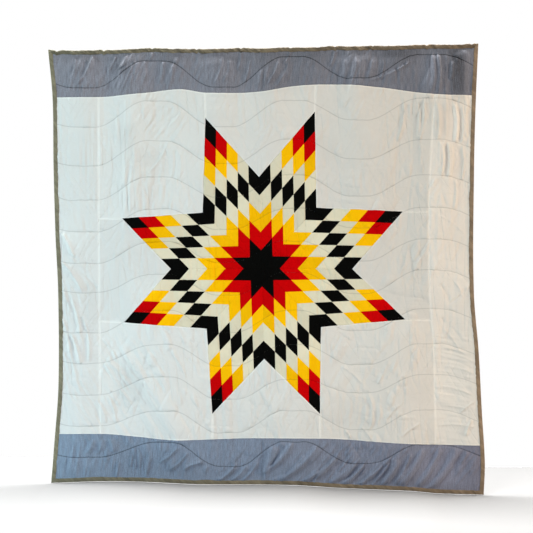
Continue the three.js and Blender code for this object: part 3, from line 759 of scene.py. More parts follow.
def crinkles(x, z):
    """Sharp little creases that wander over the cloth in patches, as after it was folded and packed."""
    lift = np.zeros(x.shape)
    for row, (angle, spacing, length, height) in enumerate(CRINKLES):
        lean = math.radians(angle)
        across = (x * math.cos(lean) + z * math.sin(lean)) / spacing
        along = (z * math.cos(lean) - x * math.sin(lean)) / length
        wander = noise(across + CRINKLE_SHIFT[0] * row, along + CRINKLE_SHIFT[1] * row)
        patch_x = x / CRINKLE_PATCH[0] + CRINKLE_PATCH_SHIFT[0] * row
        patch_z = z / CRINKLE_PATCH[1] + CRINKLE_PATCH_SHIFT[1] * row
        patch = smooth(CRINKLE_COVER + CRINKLE_CONTRAST * noise(patch_x, patch_z))
        lift -= height * patch * np.exp(-CRINKLE_SHARPNESS * np.abs(wander))
        lift += CRINKLE_WANDER * height * patch * wander
    more = smooth((x - CRINKLE_FROM[0]) / CRINKLE_OVER[0]) + smooth((-z + CRINKLE_FROM[1]) / CRINKLE_OVER[1])
    inner = smooth((x - left_seam(z)) / CRINKLE_SEAM_BLEND + 0.5)
    inner = inner * smooth((right_seam(z) - x) / CRINKLE_SEAM_BLEND + 0.5)
    lift = lift * (CRINKLE_LEAST + CRINKLE_MORE * np.clip(more, 0, CRINKLE_MOST))
    return lift * (1 + CRINKLE_INNER * inner)


def puckers(x, z, line_gap):
    """Fine ridges that the stitches draw up, stronger beside a line of quilting."""
    lift = np.zeros(x.shape)
    for row, (px, pz, reach_x, reach_z, angle, wavelength, length, height) in enumerate(PUCKERS):
        weight = np.exp(-((x - px) / reach_x) ** 2 - ((z - pz) / reach_z) ** 2)
        lean = math.radians(angle)
        across = (x * math.cos(lean) + z * math.sin(lean)) / (wavelength / 2)
        along = (z * math.cos(lean) - x * math.sin(lean)) / length
        ridges = noise(across + PUCKER_SHIFT[0] * row, along + PUCKER_SHIFT[1] * row)
        lift += PUCKER_GAIN * height * weight * ridges
    ridge = np.exp(-RIDGE_SHARPNESS * np.abs(noise(x / RIDGE_SPACING[0], z / RIDGE_SPACING[1])))
    fine = noise(x / FINE_SPACING[0] + FINE_SHIFT, z / FINE_SPACING[1]) * FINE_HEIGHT - ridge * RIDGE_DEPTH
    beside = np.exp(-line_gap / BESIDE_REACH)
    lift = lift * (PUCKER_BESIDE[0] + PUCKER_BESIDE[1] * beside)
    lift += fine * (FINE_BESIDE[0] + FINE_BESIDE[1] * beside)
    broad = noise(x / BROAD_SPACING[0] + BROAD_SHIFT[0], z / BROAD_SPACING[1] + BROAD_SHIFT[1])
    return lift + BROAD_HEIGHT * broad


def wadding(x, z):
    """Gaps to the lines above, below and nearest, the gap to the tape, and how far the wadding swells."""
    above, below, line_gap = quilting_distances(x, z)
    border = border_distance(x, z) - BINDING_WIDTH
    rise = (1 - np.exp(-above / PUFF_REACH)) * (1 - np.exp(-below / PUFF_REACH))
    return above, below, line_gap, border, rise


def front_lift(x, z, seam_gap, inner_gap):
    """Half thickness of the cloth at its face, with all that the sewing does to it."""
    above, below, line_gap, border, rise = wadding(x, z)
    width = np.clip(above + below, 1, WIDEST_CHANNEL)
    crown = CROWN[0] + CROWN[1] * np.clip(4 * above * below / (width * width), 0, 1)
    puff = PUFF * rise * crown
    half = HEM_HALF + (STITCH_HALF - HEM_HALF + puff) * smooth(border / EDGE_RISE)
    gain = 1 + (TOP_BAND_GAIN - 1) * smooth((z - top_seam(x)) / BAND_BLEND + 0.5)
    gain += (BOTTOM_BAND_GAIN - 1) * smooth((bottom_seam(x) - z) / BAND_BLEND + 0.5)
    relief = gain * (creases(x, z) + puckers(x, z, line_gap)) + crinkles(x, z)
    drawn = 1 + DRAWN_UNEVEN * noise(x / DRAWN_SPACING[0], z / DRAWN_SPACING[1]) + DRAWN_IN_BAND * (gain - 1)
    relief -= LINE_DIP * drawn * np.exp(-((line_gap / LINE_REACH) ** 2))
    relief -= SEAM_DIP * np.exp(-((seam_gap / SEAM_REACH) ** 2))
    relief += ALLOWANCE_LIFT * smooth((ALLOWANCE_WIDTH - seam_gap) / ALLOWANCE_EDGE)
    patch = np.clip(inner_gap, 0, PATCH_LIMIT)
    relief += PATCH_PUFF * (1 - np.exp(-patch / PATCH_RISE)) * (inner_gap < FAR_AWAY / 2)
    relief -= PATCH_DIP * np.exp(-((inner_gap / PATCH_DIP_REACH) ** 2))
    in_band = gain > BAND_GAIN_LEAST
    lean = np.where(in_band, -1, 1)
    reach = np.where(in_band, TAPE_REACH_IN_BAND, TAPE_REACH)
    beside_tape = np.exp(-np.clip(border, 0, TAPE_REACH_LIMIT) / reach)
    drags = noise((x + lean * z) / TAPE_SPACING[0], (x - lean * z) / TAPE_SPACING[1])
    relief += TAPE_PUCKER * (beside_tape * drags)
    relief = RELIEF_CAP * np.tanh(relief / RELIEF_CAP)
    return np.maximum(half + relief * smooth((border + TAPE_COVER) / TAPE_BLEND), LEAST_HALF)


def back_lift(x, z):
    _, _, line_gap, border, rise = wadding(x, z)
    relief = BACK_PUCKER * puckers(x + BACK_SHIFT, z, line_gap) * smooth((border + TAPE_COVER) / TAPE_BLEND)
    half = HEM_HALF + (STITCH_HALF - HEM_HALF + PUFF * BACK_PUFF * rise) * smooth(border / EDGE_RISE)
    return np.maximum(half + relief, LEAST_HALF)


# Outlines of the pieces, as runs of points along their seams
def run(curve, start, end, along_x):
    """Points of a seam or an edge, both ends included, an even step apart."""
    steps = max(1, round(abs(end - start) / EDGE_STEP))
    at = np.linspace(start, end, steps + 1)
    other = curve(at)
    return np.stack([at, other] if along_x else [other, at], 1)


def stretch(a, b):
    a, b = np.array(a, float), np.array(b, float)
    steps = max(1, round(np.linalg.norm(b - a) / EDGE_STEP))
    return a + (b - a) * np.linspace(0, 1, steps + 1)[:, None]


def straight(*corners):
    """Seams sewn by hand from corner to corner, so never quite straight."""
    points = []
    for a, b in zip(corners, corners[1:]):
        line = stretch(a, b)
        t = np.linspace(0, 1, len(line))
        x, z = line.T / SEAM_WANDER_LENGTH
        wander = np.stack([noise(x, z + 0.37), noise(x + 90, z + 0.37)], 1)
        points.append(line + SEAM_WANDER * wander * (4 * t * (1 - t))[:, None])
    return np.concatenate(points)


def joined(*runs):
    """One closed outline, counterclockwise, with repeated points left out."""
    points = np.concatenate(runs)
    step = np.linalg.norm(points - np.roll(points, 1, 0), axis=1)
    points = points[step > 0.3]
    nxt = np.roll(points, -1, 0)
    area = np.sum(points[:, 0] * nxt[:, 1] - nxt[:, 0] * points[:, 1])
    return points if area > 0 else points[::-1]


def crossing(side, band):
    """Where an upright curve meets a level one."""
    x = side(-900.0)
    for _ in range(12):
        x = side(band(x))
    return float(x), float(band(x))


SIDES = {
    "left": left_seam,
    "right": right_seam,
    "edge_left": lambda z: left_edge(z) + HEM_START,
    "edge_right": lambda z: right_edge(z) - HEM_START,
}
BANDS = {
    "top": top_seam,
    "bottom": bottom_seam,
    "edge_top": lambda x: top_edge(x) - HEM_START,
    "edge_bottom": lambda x: bottom_edge(x) + HEM_START,
}
MEET = {(s, b): crossing(SIDES[s], BANDS[b]) for s in SIDES for b in BANDS}


def level(name, start, end):
    return run(BANDS[name], start, end, True)


def upright(name, start, end):
    return run(SIDES[name], start, end, False)


def tip(i):
    return STAR[i % len(STAR)][2:4]


def inner_corner(i):
    return STAR[i % len(STAR)][0:2]


def tip_seam(i):
    """Where the seam that leaves a tip meets the border."""
    border, place = STAR[i][4:6]
    if border in ("top", "bottom"):
        return place, float(BANDS[border](place))
    return float(SIDES[border](place)), place


def band_outlines(band):
    outlines = {}
    edge = "edge_" + band
    for side in ("left", "right"):
        seam_end = MEET["edge_" + side, band]
        corner = MEET["edge_" + side, edge]
        outlines[f"band_{band}_{side}"] = joined(
            level(band, BAND_JOINT_X, seam_end[0]),
            upright("edge_" + side, seam_end[1], corner[1]),
            level(edge, corner[0], BAND_JOINT_X),
            straight((BAND_JOINT_X, BANDS[edge](BAND_JOINT_X)), (BAND_JOINT_X, BANDS[band](BAND_JOINT_X))),
        )
    return outlines


def strip_outlines():
    outlines = {}
    for side in ("left", "right"):
        edge = "edge_" + side
        outlines["side_strip_" + side] = joined(
            upright(side, MEET[side, "top"][1], MEET[side, "bottom"][1]),
            level("bottom", MEET[side, "bottom"][0], MEET[edge, "bottom"][0]),
            upright(edge, MEET[edge, "bottom"][1], MEET[edge, "top"][1]),
            level("top", MEET[edge, "top"][0], MEET[side, "top"][0]),
        )
    return outlines


def ground_outlines():
    """The four squares and four triangles set in between the star's points."""
    outlines = {}
    triangles = [("top", 7, 0), ("right", 1, 2), ("bottom", 3, 4), ("left", 5, 6)]
    for border, first, second in triangles:
        a, b = tip_seam(first), tip_seam(second)
        along = level(border, a[0], b[0]) if border in BANDS else upright(border, a[1], b[1])
        outlines["ground_" + border] = joined(
            along, straight(b, tip(second), inner_corner(second), tip(first), a))
    squares = [
        ("top", "right", 0, 1),
        ("bottom", "right", 3, 2),
        ("bottom", "left", 4, 5),
        ("top", "left", 7, 6),
    ]
    for band, side, on_band, on_side in squares:
        a, b = tip_seam(on_band), tip_seam(on_side)
        meet = MEET[side, band]
        corner = inner_corner(max(on_band, on_side) if (band, side) != ("top", "right") else 1)
        outlines[f"ground_{band}_{side}"] = joined(
            level(band, a[0], meet[0]), upright(side, meet[1], b[1]),
            straight(b, tip(on_side), corner, tip(on_band), a))
    return outlines


def star_outlines():
    outlines = {}
    for i in range(len(STAR)):
        corners = (STAR_CENTRE, inner_corner(i), tip(i), inner_corner(i + 1), STAR_CENTRE)
        outlines[f"star_point_{i + 1}"] = joined(straight(*corners))
    return outlines


def polygon_distance(points, polygon):
    """Distance of each point from a closed outline, and whether it lies inside."""
    best = np.full(len(points), 1e6)
    inside = np.zeros(len(points), bool)
    x, z = points[:, 0], points[:, 1]
    for a, b in zip(polygon, np.roll(polygon, -1, 0)):
        d = b - a
        t = np.clip(((x - a[0]) * d[0] + (z - a[1]) * d[1]) / (d @ d), 0, 1)
        best = np.minimum(best, (x - a[0] - t * d[0]) ** 2 + (z - a[1] - t * d[1]) ** 2)
        crosses = (a[1] > z) != (b[1] > z)
        if a[1] != b[1]:
            inside ^= crosses & (x < a[0] + (z - a[1]) * d[0] / d[1])
    return np.sqrt(best), inside


def simplified(polygon, tolerance=0.05):
    """The outline with the points on straight stretches left out, for measuring."""
    keep = np.zeros(len(polygon) + 1, bool)
    keep[[0, -1]] = True
    loop = np.concatenate([polygon, polygon[:1]])
    stretches = [(0, len(polygon) // 2), (len(polygon) // 2, len(polygon))]
    keep[len(polygon) // 2] = True
    while stretches:
        first, last = stretches.pop()
        if last - first < 2:
            continue
        chord = loop[last] - loop[first]
        away = loop[first + 1:last] - loop[first]
        off = np.abs(chord[0] * away[:, 1] - chord[1] * away[:, 0]) / max(np.linalg.norm(chord), 1e-6)
        worst = int(np.argmax(off))
        if off[worst] > tolerance:
            middle = first + 1 + worst
            keep[middle] = True
            stretches += [(first, middle), (middle, last)]
    return polygon[keep[:-1]]


class Sieve:
    """Keeps points apart with a map of the places that are taken."""

    CELL = 0.8

    def __init__(self, polygon):
        self.low = polygon.min(0) - 10
        self.size = np.ceil((polygon.max(0) + 10 - self.low) / self.CELL).astype(int)
        self.taken = np.zeros(self.size, bool)
        self.points = np.zeros((0, 2))

    def cells(self, points, cell):
        return np.floor((points - self.low) / cell).astype(int)

    def spread(self, reach):
        wide = self.taken.copy()
        for dx in range(-reach, reach + 1):
            for dz in range(-reach, reach + 1):
                if 0 < dx * dx + dz * dz <= reach * reach + 1:
                    wide |= np.roll(np.roll(self.taken, dx, 0), dz, 1)
        return wide

    def add(self, points, room):
        if len(points) == 0:
            return
        if room > 0:
            c = self.cells(points, self.CELL)
            points = points[~self.spread(max(1, int(room / self.CELL)))[c[:, 0], c[:, 1]]]
            coarse = self.cells(points, room)
            _, first = np.unique(coarse[:, 0] * 100000 + coarse[:, 1], return_index=True)
            points = points[np.sort(first)]
        c = self.cells(points, self.CELL)
        self.taken[c[:, 0], c[:, 1]] = True
        self.points = np.concatenate([self.points, points])


def lattice(polygon, step):
    """An even lattice of points over an outline's box."""
    low, high = polygon.min(0), polygon.max(0)
    rows = np.arange(low[1], high[1], step * 0.87)
    columns = np.arange(low[0], high[0], step)
    x, z = np.meshgrid(columns, rows)
    x = x + np.where(np.arange(len(rows)) % 2, step / 2, 0)[:, None]
    return np.stack([x.ravel(), z.ravel()], 1)


def quilting_points(low, high, rows):
    found = []
    for index in range(len(QUILTING)):
        x = np.arange(low[0], high[0], EDGE_STEP)
        z = quilting_height(index, x)
        slope = (quilting_height(index, x + 1) - quilting_height(index, x - 1)) / 2
        length = np.sqrt(1 + slope * slope)
        for row in rows:
            found.append(np.stack([x - slope / length * row, z + row / length], 1))
    return np.concatenate(found)


def patch_seams(index):
    """The seams between a star point's diamonds, as pairs of ends."""
    centre = np.array(STAR_CENTRE)
    a, t, b = (np.array(p, float) for p in (inner_corner(index), tip(index), inner_corner(index + 1)))
    seams = []
    for k in range(1, PATCHES):
        share = k / PATCHES
        seams.append((centre + (a - centre) * share, b + (t - b) * share))
        seams.append((centre + (b - centre) * share, a + (t - a) * share))
    return seams


def line_distance(points, seams):
    best = np.full(len(points), FAR_AWAY)
    for a, b in seams:
        d = b - a
        t = np.clip(((points - a) @ d) / (d @ d), 0, 1)
        best = np.minimum(best, np.linalg.norm(points - a - t[:, None] * d, axis=1))
    return best


def triangulated(points, outline_count):
    """A flat net of triangles through the points, kept inside the outline, which comes first."""
    ring = list(range(outline_count))
    edges = [(i, (i + 1) % outline_count) for i in ring]
    middle = points[:outline_count].mean(0)
    near = [Vector(p) for p in points - middle]
    verts, _, faces, origin, _, _ = delaunay_2d_cdt(near, edges, [], 0, 1e-4, True)
    place = {}
    for out, sources in enumerate(origin):
        for source in sources:
            place[source] = out
    flat = np.array([(v.x, v.y) for v in verts]) + middle
    faces = np.array(list(faces))
    rim = [place[i] for i in ring]
    _, inside = polygon_distance(flat[faces].mean(1), flat[rim])
    return flat, faces[inside], rim


def add_inside(sieve, points, outline, least_gap, room):
    """Points added where they lie inside an outline and not too near it."""
    gap, inside = polygon_distance(points, outline)
    sieve.add(points[inside & (gap > least_gap)], room)


def cloth_mesh(name, outline, seams=()):
    """A closed quilted piece: its face, its back and the narrow wall between them."""
    rough = simplified(outline)
    low, high = outline.min(0), outline.max(0)
    count = len(outline)
    front = Sieve(outline)
    front.add(outline, 0)
    for a, b in seams:
        d = (b - a) / np.linalg.norm(b - a)
        side = np.array([-d[1], d[0]])
        for offset in (0, -RINGS[0], RINGS[0], -RINGS[1], RINGS[1]):
            add_inside(front, stretch(a, b) + side * offset, rough, 1.0, PATCH_ROOM)
    tangent = np.roll(outline, -1, 0) - np.roll(outline, 1, 0)
    tangent /= np.linalg.norm(tangent, axis=1)[:, None]
    inward = np.stack([-tangent[:, 1], tangent[:, 0]], 1)
    for offset in RINGS:
        add_inside(front, outline + inward * offset, rough, offset * RING_KEEP, RING_ROOM)
    add_inside(front, quilting_points(low, high, LINE_ROWS), rough, LINE_ROOM, LINE_ROOM)
    add_inside(front, lattice(outline, FRONT_STEP), rough, FRONT_ROOM, FRONT_ROOM)
    flat, faces, ring_front = triangulated(front.points, count)
    seam_gap, _ = polygon_distance(flat, rough)
    inner_gap = line_distance(flat, seams)
    x, z = flat[:, 0], flat[:, 1]
    y = np.maximum(-swell(x, z) - front_lift(x, z, seam_gap, inner_gap), FRONT_LIMIT)
    front_verts = np.stack([x, y, z], 1)

    back = Sieve(outline)
    back.add(outline, 0)
    add_inside(back, quilting_points(low, high, BACK_LINE_ROWS), rough, BACK_LINE_ROOM, BACK_LINE_ROOM)
    add_inside(back, lattice(outline, BACK_STEP), rough, BACK_ROOM, BACK_ROOM)
    back_flat, back_faces, ring_back = triangulated(back.points, count)
    bx, bz = back_flat[:, 0], back_flat[:, 1]
    back_verts = np.stack([bx, -swell(bx, bz) + back_lift(bx, bz), bz], 1)

    total = len(front_verts)
    wall = []
    for i in range(count):
        j = (i + 1) % count
        a, b = ring_front[i], ring_front[j]
        c, d = ring_back[j] + total, ring_back[i] + total
        wall += [(b, a, d), (b, d, c)]
    back_faces = orient(back_flat, back_faces, False) + total
    triangles = np.concatenate([orient(flat, faces, True), back_faces, wall])
    mesh = bpy.data.meshes.new(name)
    fill_mesh(mesh, np.concatenate([front_verts, back_verts]), triangles, len(faces) + len(back_faces))
    kinds = np.repeat([0, 1, 0], [len(faces), len(back_faces), len(wall)])
    return mesh, {"flat": flat, "faces": faces, "kinds": kinds, "seam_gap": seam_gap, "total": total}


def orient(flat, faces, towards_viewer):
    """Triangles wound so that the face looks out: towards -Y at the front."""
    a, b, c = flat[faces[:, 0]], flat[faces[:, 1]], flat[faces[:, 2]]
    area = (b - a)[:, 0] * (c - a)[:, 1] - (b - a)[:, 1] * (c - a)[:, 0]
    wrong = (area > 0) != towards_viewer
    out = faces.copy()
    out[wrong] = out[wrong][:, ::-1]
    return out


def fill_mesh(mesh, verts, triangles, smooth_count=None):
    """The mesh's points and triangles, smooth but for those after the first so many."""
    soft = np.arange(len(triangles)) < (len(triangles) if smooth_count is None else smooth_count)
    mesh.vertices.add(len(verts))
    mesh.vertices.foreach_set("co", (verts * MM).astype(np.float32).ravel())
    mesh.loops.add(len(triangles) * 3)
    mesh.loops.foreach_set("vertex_index", triangles.astype(np.int32).ravel())
    mesh.polygons.add(len(triangles))
    mesh.polygons.foreach_set("loop_start", np.arange(0, len(triangles) * 3, 3, dtype=np.int32))
    mesh.polygons.foreach_set("use_smooth", soft)
    mesh.update(calc_edges=True)
    mesh.validate()


def point_attribute(mesh, name, values):
    mesh.attributes.new(name, "FLOAT", "POINT").data.foreach_set("value", values.astype(np.float32))


# Materials
QUILT_SPAN = (-0.93, 0.95)      # the quilt's two sides, in metres
THREAD_SPACING = 0.0005
PLY_SPACING = 0.0004
WAVE_PERIOD = 0.314             # metres times scale, for one band of the wave texture
BUMP_STRENGTH = 0.6
WRINKLES = [  # angle from upright in degrees, how close together along x, y, z, share of the depth
    (3, (27, 27, 3.0), 1.0),
    (31, (25, 25, 3.6), 0.6),
    (-29, (25, 25, 3.6), 0.65),
    (84, (34, 34, 5), 0.35),
]
WRINKLE_HALF = 0.07
WRINKLE_DETAIL = 0.4
WRINKLE_PATCH = (6, 6, 6)
WRINKLE_COVER = (0.4, 0.56)     # where a patch of them fades in


class Shader:
    """A few short ways to wire a material's nodes."""

    def __init__(self, name):
        self.material = bpy.data.materials.new(name)
        self.material.use_nodes = True
        self.tree = self.material.node_tree
        self.tree.nodes.clear()
        self.place = self.add("ShaderNodeTexCoord").outputs["Object"]
        split = self.add("ShaderNodeSeparateXYZ", Vector=self.place)
        self.x, self.z = split.outputs["X"], split.outputs["Z"]

    def add(self, kind, properties=(), **sockets):
        node = self.tree.nodes.new(kind)
        for key, value in dict(properties).items():
            setattr(node, key, value)
        for key, value in sockets.items():
            self.put(node.inputs[key.replace("_", " ")], value)
        return node

    def put(self, socket, value):
        if isinstance(value, bpy.types.NodeSocket):
            self.tree.links.new(value, socket)
        elif isinstance(value, (tuple, list)) and len(value) == 3 and socket.type == "RGBA":
            socket.default_value = (*value, 1)
        else:
            socket.default_value = value

    def math(self, operation, a, b=0.0):
        node = self.tree.nodes.new("ShaderNodeMath")
        node.operation = operation
        self.put(node.inputs[0], a)
        self.put(node.inputs[1], b)
        return node.outputs[0]

    def mix(self, factor, a, b):
        node = self.tree.nodes.new("ShaderNodeMix")
        node.data_type = "RGBA"
        self.put(node.inputs[0], factor)
        self.put(node.inputs[6], a)
        self.put(node.inputs[7], b)
        return node.outputs[2]

    def noise(self, stretch, detail=2.0):
        scaled = self.add("ShaderNodeVectorMath", {"operation": "MULTIPLY"})
        self.put(scaled.inputs[0], self.place)
        scaled.inputs[1].default_value = stretch
        texture = self.add("ShaderNodeTexNoise", Vector=scaled.outputs[0], Scale=1.0, Detail=detail)
        return texture.outputs["Fac"]

    def bands(self, direction, scale):
        properties = {"wave_type": "BANDS", "bands_direction": direction, "wave_profile": "SIN"}
        return self.add("ShaderNodeTexWave", properties, Vector=self.place, Scale=scale).outputs["Fac"]

    def ramp(self, value, low, high, start=0.0, end=1.0):
        node = self.tree.nodes.new("ShaderNodeMapRange")
        self.put(node.inputs["Value"], value)
        for key, number in (("From Min", low), ("From Max", high), ("To Min", start), ("To Max", end)):
            node.inputs[key].default_value = number
        return node.outputs[0]

    def varied(self, stretch, share, detail=2.0, low=0.2, high=0.8):
        """A factor that wanders about 1, by a share either way."""
        return self.ramp(self.noise(stretch, detail), low, high, 1 - share, 1 + share)

    def attribute(self, name):
        return self.add("ShaderNodeAttribute", {"attribute_name": name}).outputs["Fac"]

    def painted_light_across_quilt(self, left, right):
        """Painted light: the colour drifts from one side of the quilt to the other, for cooler light on the
        left and warmer light on the right.
        """
        return self.mix(self.ramp(self.x, *QUILT_SPAN), left, right)

    def brightness(self, colour, factor):
        hsv = self.add("ShaderNodeHueSaturation", Color=colour, Value=factor)
        return hsv.outputs["Color"]

    def crumpled(self, depth):
        """Sharp little wrinkles in patches, as cloth keeps from being folded away: a height in metres."""
        straight_up = self.place
        height = 0.0
        for lean, stretch, share in WRINKLES:
            turned = self.add("ShaderNodeMapping", Vector=straight_up)
            turned.inputs["Rotation"].default_value = (0, math.radians(lean), 0)
            self.place = turned.outputs[0]
            off = self.math("ABSOLUTE", self.math("SUBTRACT", self.noise(stretch, WRINKLE_DETAIL), 0.5))
            line = self.math("SUBTRACT", 1.0, self.ramp(off, 0.0, WRINKLE_HALF))
            patch = self.ramp(self.noise(WRINKLE_PATCH, 1.0), *WRINKLE_COVER)
            dip = self.math("MULTIPLY", self.math("MULTIPLY", line, patch), -depth * share)
            height = self.math("ADD", height, dip)
        self.place = straight_up
        return height

    def finish(self, colour, height, bump_depth, roughness, sheen, gloss=0.12, wrinkles=0.0017):
        """The cloth's surface: its fine relief on top of its wrinkles, both in metres."""
        creased = self.add("ShaderNodeBump", Strength=1.0, Distance=1.0, Height=self.crumpled(wrinkles))
        bumped = self.add("ShaderNodeBump", Strength=BUMP_STRENGTH, Distance=bump_depth, Height=height)
        self.put(bumped.inputs["Normal"], creased.outputs[0])
        shader = self.add("ShaderNodeBsdfPrincipled", Base_Color=colour, Roughness=roughness,
                          Sheen_Weight=sheen, Sheen_Roughness=0.55, Normal=bumped.outputs[0])
        shader.inputs["Specular IOR Level"].default_value = gloss
        out = self.add("ShaderNodeOutputMaterial")
        self.tree.links.new(shader.outputs[0], out.inputs["Surface"])
        return self.material


def linear(*srgb):
    """A colour as linear light, from its 0 to 255 values."""
    return tuple((v / 255 / 12.92) if v < 11 else ((v / 255 + 0.055) / 1.055) ** 2.4 for v in srgb)


def weave(shader):
    """Height of a plain weave."""
    across = shader.bands("X", WAVE_PERIOD / THREAD_SPACING)
    down = shader.bands("Z", WAVE_PERIOD / THREAD_SPACING)
    return shader.math("MAXIMUM", across, down)


def product(shader, first, *others):
    for other in others:
        first = shader.math("MULTIPLY", first, other)
    return first


def sewn_tone(shader, value, allowance_and_seam_shade, stitch_groove_shade):
    """A piece's tone, changed over its folded seam allowance (lighter cloth, or painted shade where the
    change is negative) and darkened along its stitches as painted shade in their grooves.
    """
    value = shader.math("ADD", value, shader.math("MULTIPLY", shader.attribute("allowance_and_seam_shade"), allowance_and_seam_shade))
    return shader.math("SUBTRACT", value, shader.math("MULTIPLY", shader.attribute("stitch_groove_shade"), stitch_groove_shade))


def cotton(name, colours, streaks=0.03, blotch=0.03, allowance_and_seam_shade=0.13, sheen=0.2, gloss=0.12):
    """Plain-woven cotton, lighter over a folded seam allowance, with uneven threads."""
    shader = Shader(name)
    base = shader.painted_light_across_quilt(*colours) if len(colours) == 2 else colours[0]
    large = shader.varied((5, 5, 3), blotch, 3.0, 0.25, 0.75)
    warp = shader.varied((1400, 60, 45), streaks)
    weft = shader.varied((60, 60, 1200), streaks * 0.6)
    tone = shader.math("ADD", shader.attribute("tone"), 1.0)
    value = product(shader, large, product(shader, warp, weft), tone)
    # Slightly darker along the stitches: painted shade in their grooves
    value = sewn_tone(shader, value, allowance_and_seam_shade, 0.3)
    height = shader.math("ADD", weave(shader), shader.noise((900, 900, 900)))
    return shader.finish(shader.brightness(base, value), height, 0.00012, 0.92, sheen, gloss=gloss)


def chambray(name, colours):
    """Thin striped-looking cotton: streaks of lighter and darker warp run down it."""
    shader = Shader(name)
    base = shader.painted_light_across_quilt(*colours)
    fine = shader.varied((420, 20, 26), 0.32, 3.0)
    speckle = shader.varied((300, 30, 200), 0.18)
    broad = shader.varied((60, 10, 3.5), 0.07)
    large = product(shader, shader.varied((4, 4, 3), 0.06, 3.0, 0.25, 0.75), speckle)
    value = product(shader, fine, product(shader, broad, large))
    # Darker over the seam allowance, a painted shadow along the seam, and much darker along the stitches,
    # painted shade in their grooves
    value = sewn_tone(shader, shader.math("ADD", value, shader.attribute("tone")), -0.07, 0.8)
    height = shader.math("ADD", weave(shader), shader.noise((1200, 900, 300)))
    return shader.finish(shader.brightness(base, value), height, 0.00014, 0.9, 0.18, wrinkles=0.0005)


def binding_cloth(name, colours):
    """Folded bias tape: its threads run slantwise and it is lighter along its folds."""
    shader = Shader(name)
    base = shader.painted_light_across_quilt(*colours)
    slant = shader.add("ShaderNodeMapping", Vector=shader.place)
    slant.inputs["Rotation"].default_value = (0, math.radians(45), 0)
    shader.place = slant.outputs[0]
    fine = shader.varied((500, 30, 30), 0.14, 3.0)
    broad = shader.varied((60, 20, 14), 0.34, 2.0, 0.25, 0.75)
    patches = shader.varied((7, 7, 7), 0.14, 3.0, 0.3, 0.7)
    value = product(shader, fine, product(shader, broad, patches))
    value = shader.math("ADD", value, shader.attribute("tone"))
    height = shader.math("ADD", weave(shader), shader.noise((1200, 900, 300)))
    return shader.finish(shader.brightness(base, value), height, 0.00014, 0.9, 0.15, wrinkles=0.0005)


def spun_thread(name, colour):
    shader = Shader(name)
    twist = shader.bands("DIAGONAL", WAVE_PERIOD / PLY_SPACING)
    value = shader.ramp(shader.noise((300, 300, 300)), 0.2, 0.8, 0.92, 1.06)
    return shader.finish(shader.brightness(colour, value), twist, 0.00006, 0.8, 0.1, wrinkles=0.0)


# Each pair is a cloth's colour at the quilt's left and right side; the drift between them is painted light,
# cool on the left and warm on the right.
WHITE_LIT_SIDES = (linear(211, 216, 213), linear(207, 199, 187))
TOP_CHAMBRAY_LIT_SIDES = (linear(127, 130, 139), linear(108, 109, 117))
BOTTOM_CHAMBRAY_LIT_SIDES = (linear(120, 138, 156), linear(114, 113, 125))
BINDING_LIT_SIDES = (linear(110, 107, 88), linear(121, 102, 81))

MATERIALS = {
    "white": cotton("white_cotton", WHITE_LIT_SIDES, blotch=0.02),
    "black": cotton("black_cotton", [linear(6, 6, 5)], streaks=0.25, allowance_and_seam_shade=0.0, sheen=0.0, gloss=0.03),
    "red": cotton("red_cotton", [linear(190, 1, 4)], allowance_and_seam_shade=0.0, sheen=0.0, gloss=0.03),
    "yellow": cotton("yellow_cotton", [linear(238, 180, 5)], allowance_and_seam_shade=0.0, sheen=0.0, gloss=0.03),
    "cream": cotton("cream_cotton", [linear(210, 203, 176)], allowance_and_seam_shade=0.0),
    "top_chambray": chambray("top_chambray", TOP_CHAMBRAY_LIT_SIDES),
    "bottom_chambray": chambray("bottom_chambray", BOTTOM_CHAMBRAY_LIT_SIDES),
    "binding": binding_cloth("binding_cotton", BINDING_LIT_SIDES),
    "backing": cotton("backing_cotton", [linear(206, 203, 194)], allowance_and_seam_shade=0.0),
    "thread": spun_thread("quilting_thread", linear(158, 156, 150)),
    "dark_thread": spun_thread("band_thread", linear(66, 72, 88)),
}


def place_piece(name, mesh, materials):
    for material in materials:
        mesh.materials.append(MATERIALS[material])
    obj = bpy.data.objects.new(name, mesh)
    bpy.context.scene.collection.objects.link(obj)
    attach(obj, BODY)
    return obj


def patch_of(index, points):
    """Which diamond of a star point each place lies in, counted out from the centre."""
    centre = np.array(STAR_CENTRE)
    a = np.array(inner_corner(index)) - centre
    b = np.array(inner_corner(index + 1)) - centre
    t = np.array(tip(index)) - centre
    share = np.linalg.solve(np.stack([a, b], 1), (points - centre).T).T
    stretch = np.linalg.solve(np.stack([a, b], 1), t)
    for _ in range(3):
        u, v = share[:, 0], share[:, 1]
        bent = np.stack([u, v], 1) + (u * v)[:, None] * (stretch - 1)
        share = share - (bent - np.linalg.solve(np.stack([a, b], 1), (points - centre).T).T)
    cell = np.clip(np.floor(share * PATCHES).astype(int), 0, PATCHES - 1)
    return cell[:, 0], cell[:, 1]


PIECE_TONES = {  # change of tone
    "ground_right": -0.05,
    "ground_top_right": -0.05,
    "ground_top": -0.03,
    "ground_left": -0.05,
    "side_strip_left": -0.03,
    "side_strip_right": 0.07,
    "band_top_left": -0.03,
    # painted shade: this piece is darkened for the shade of its folds
    "band_top_right": -0.08,
}

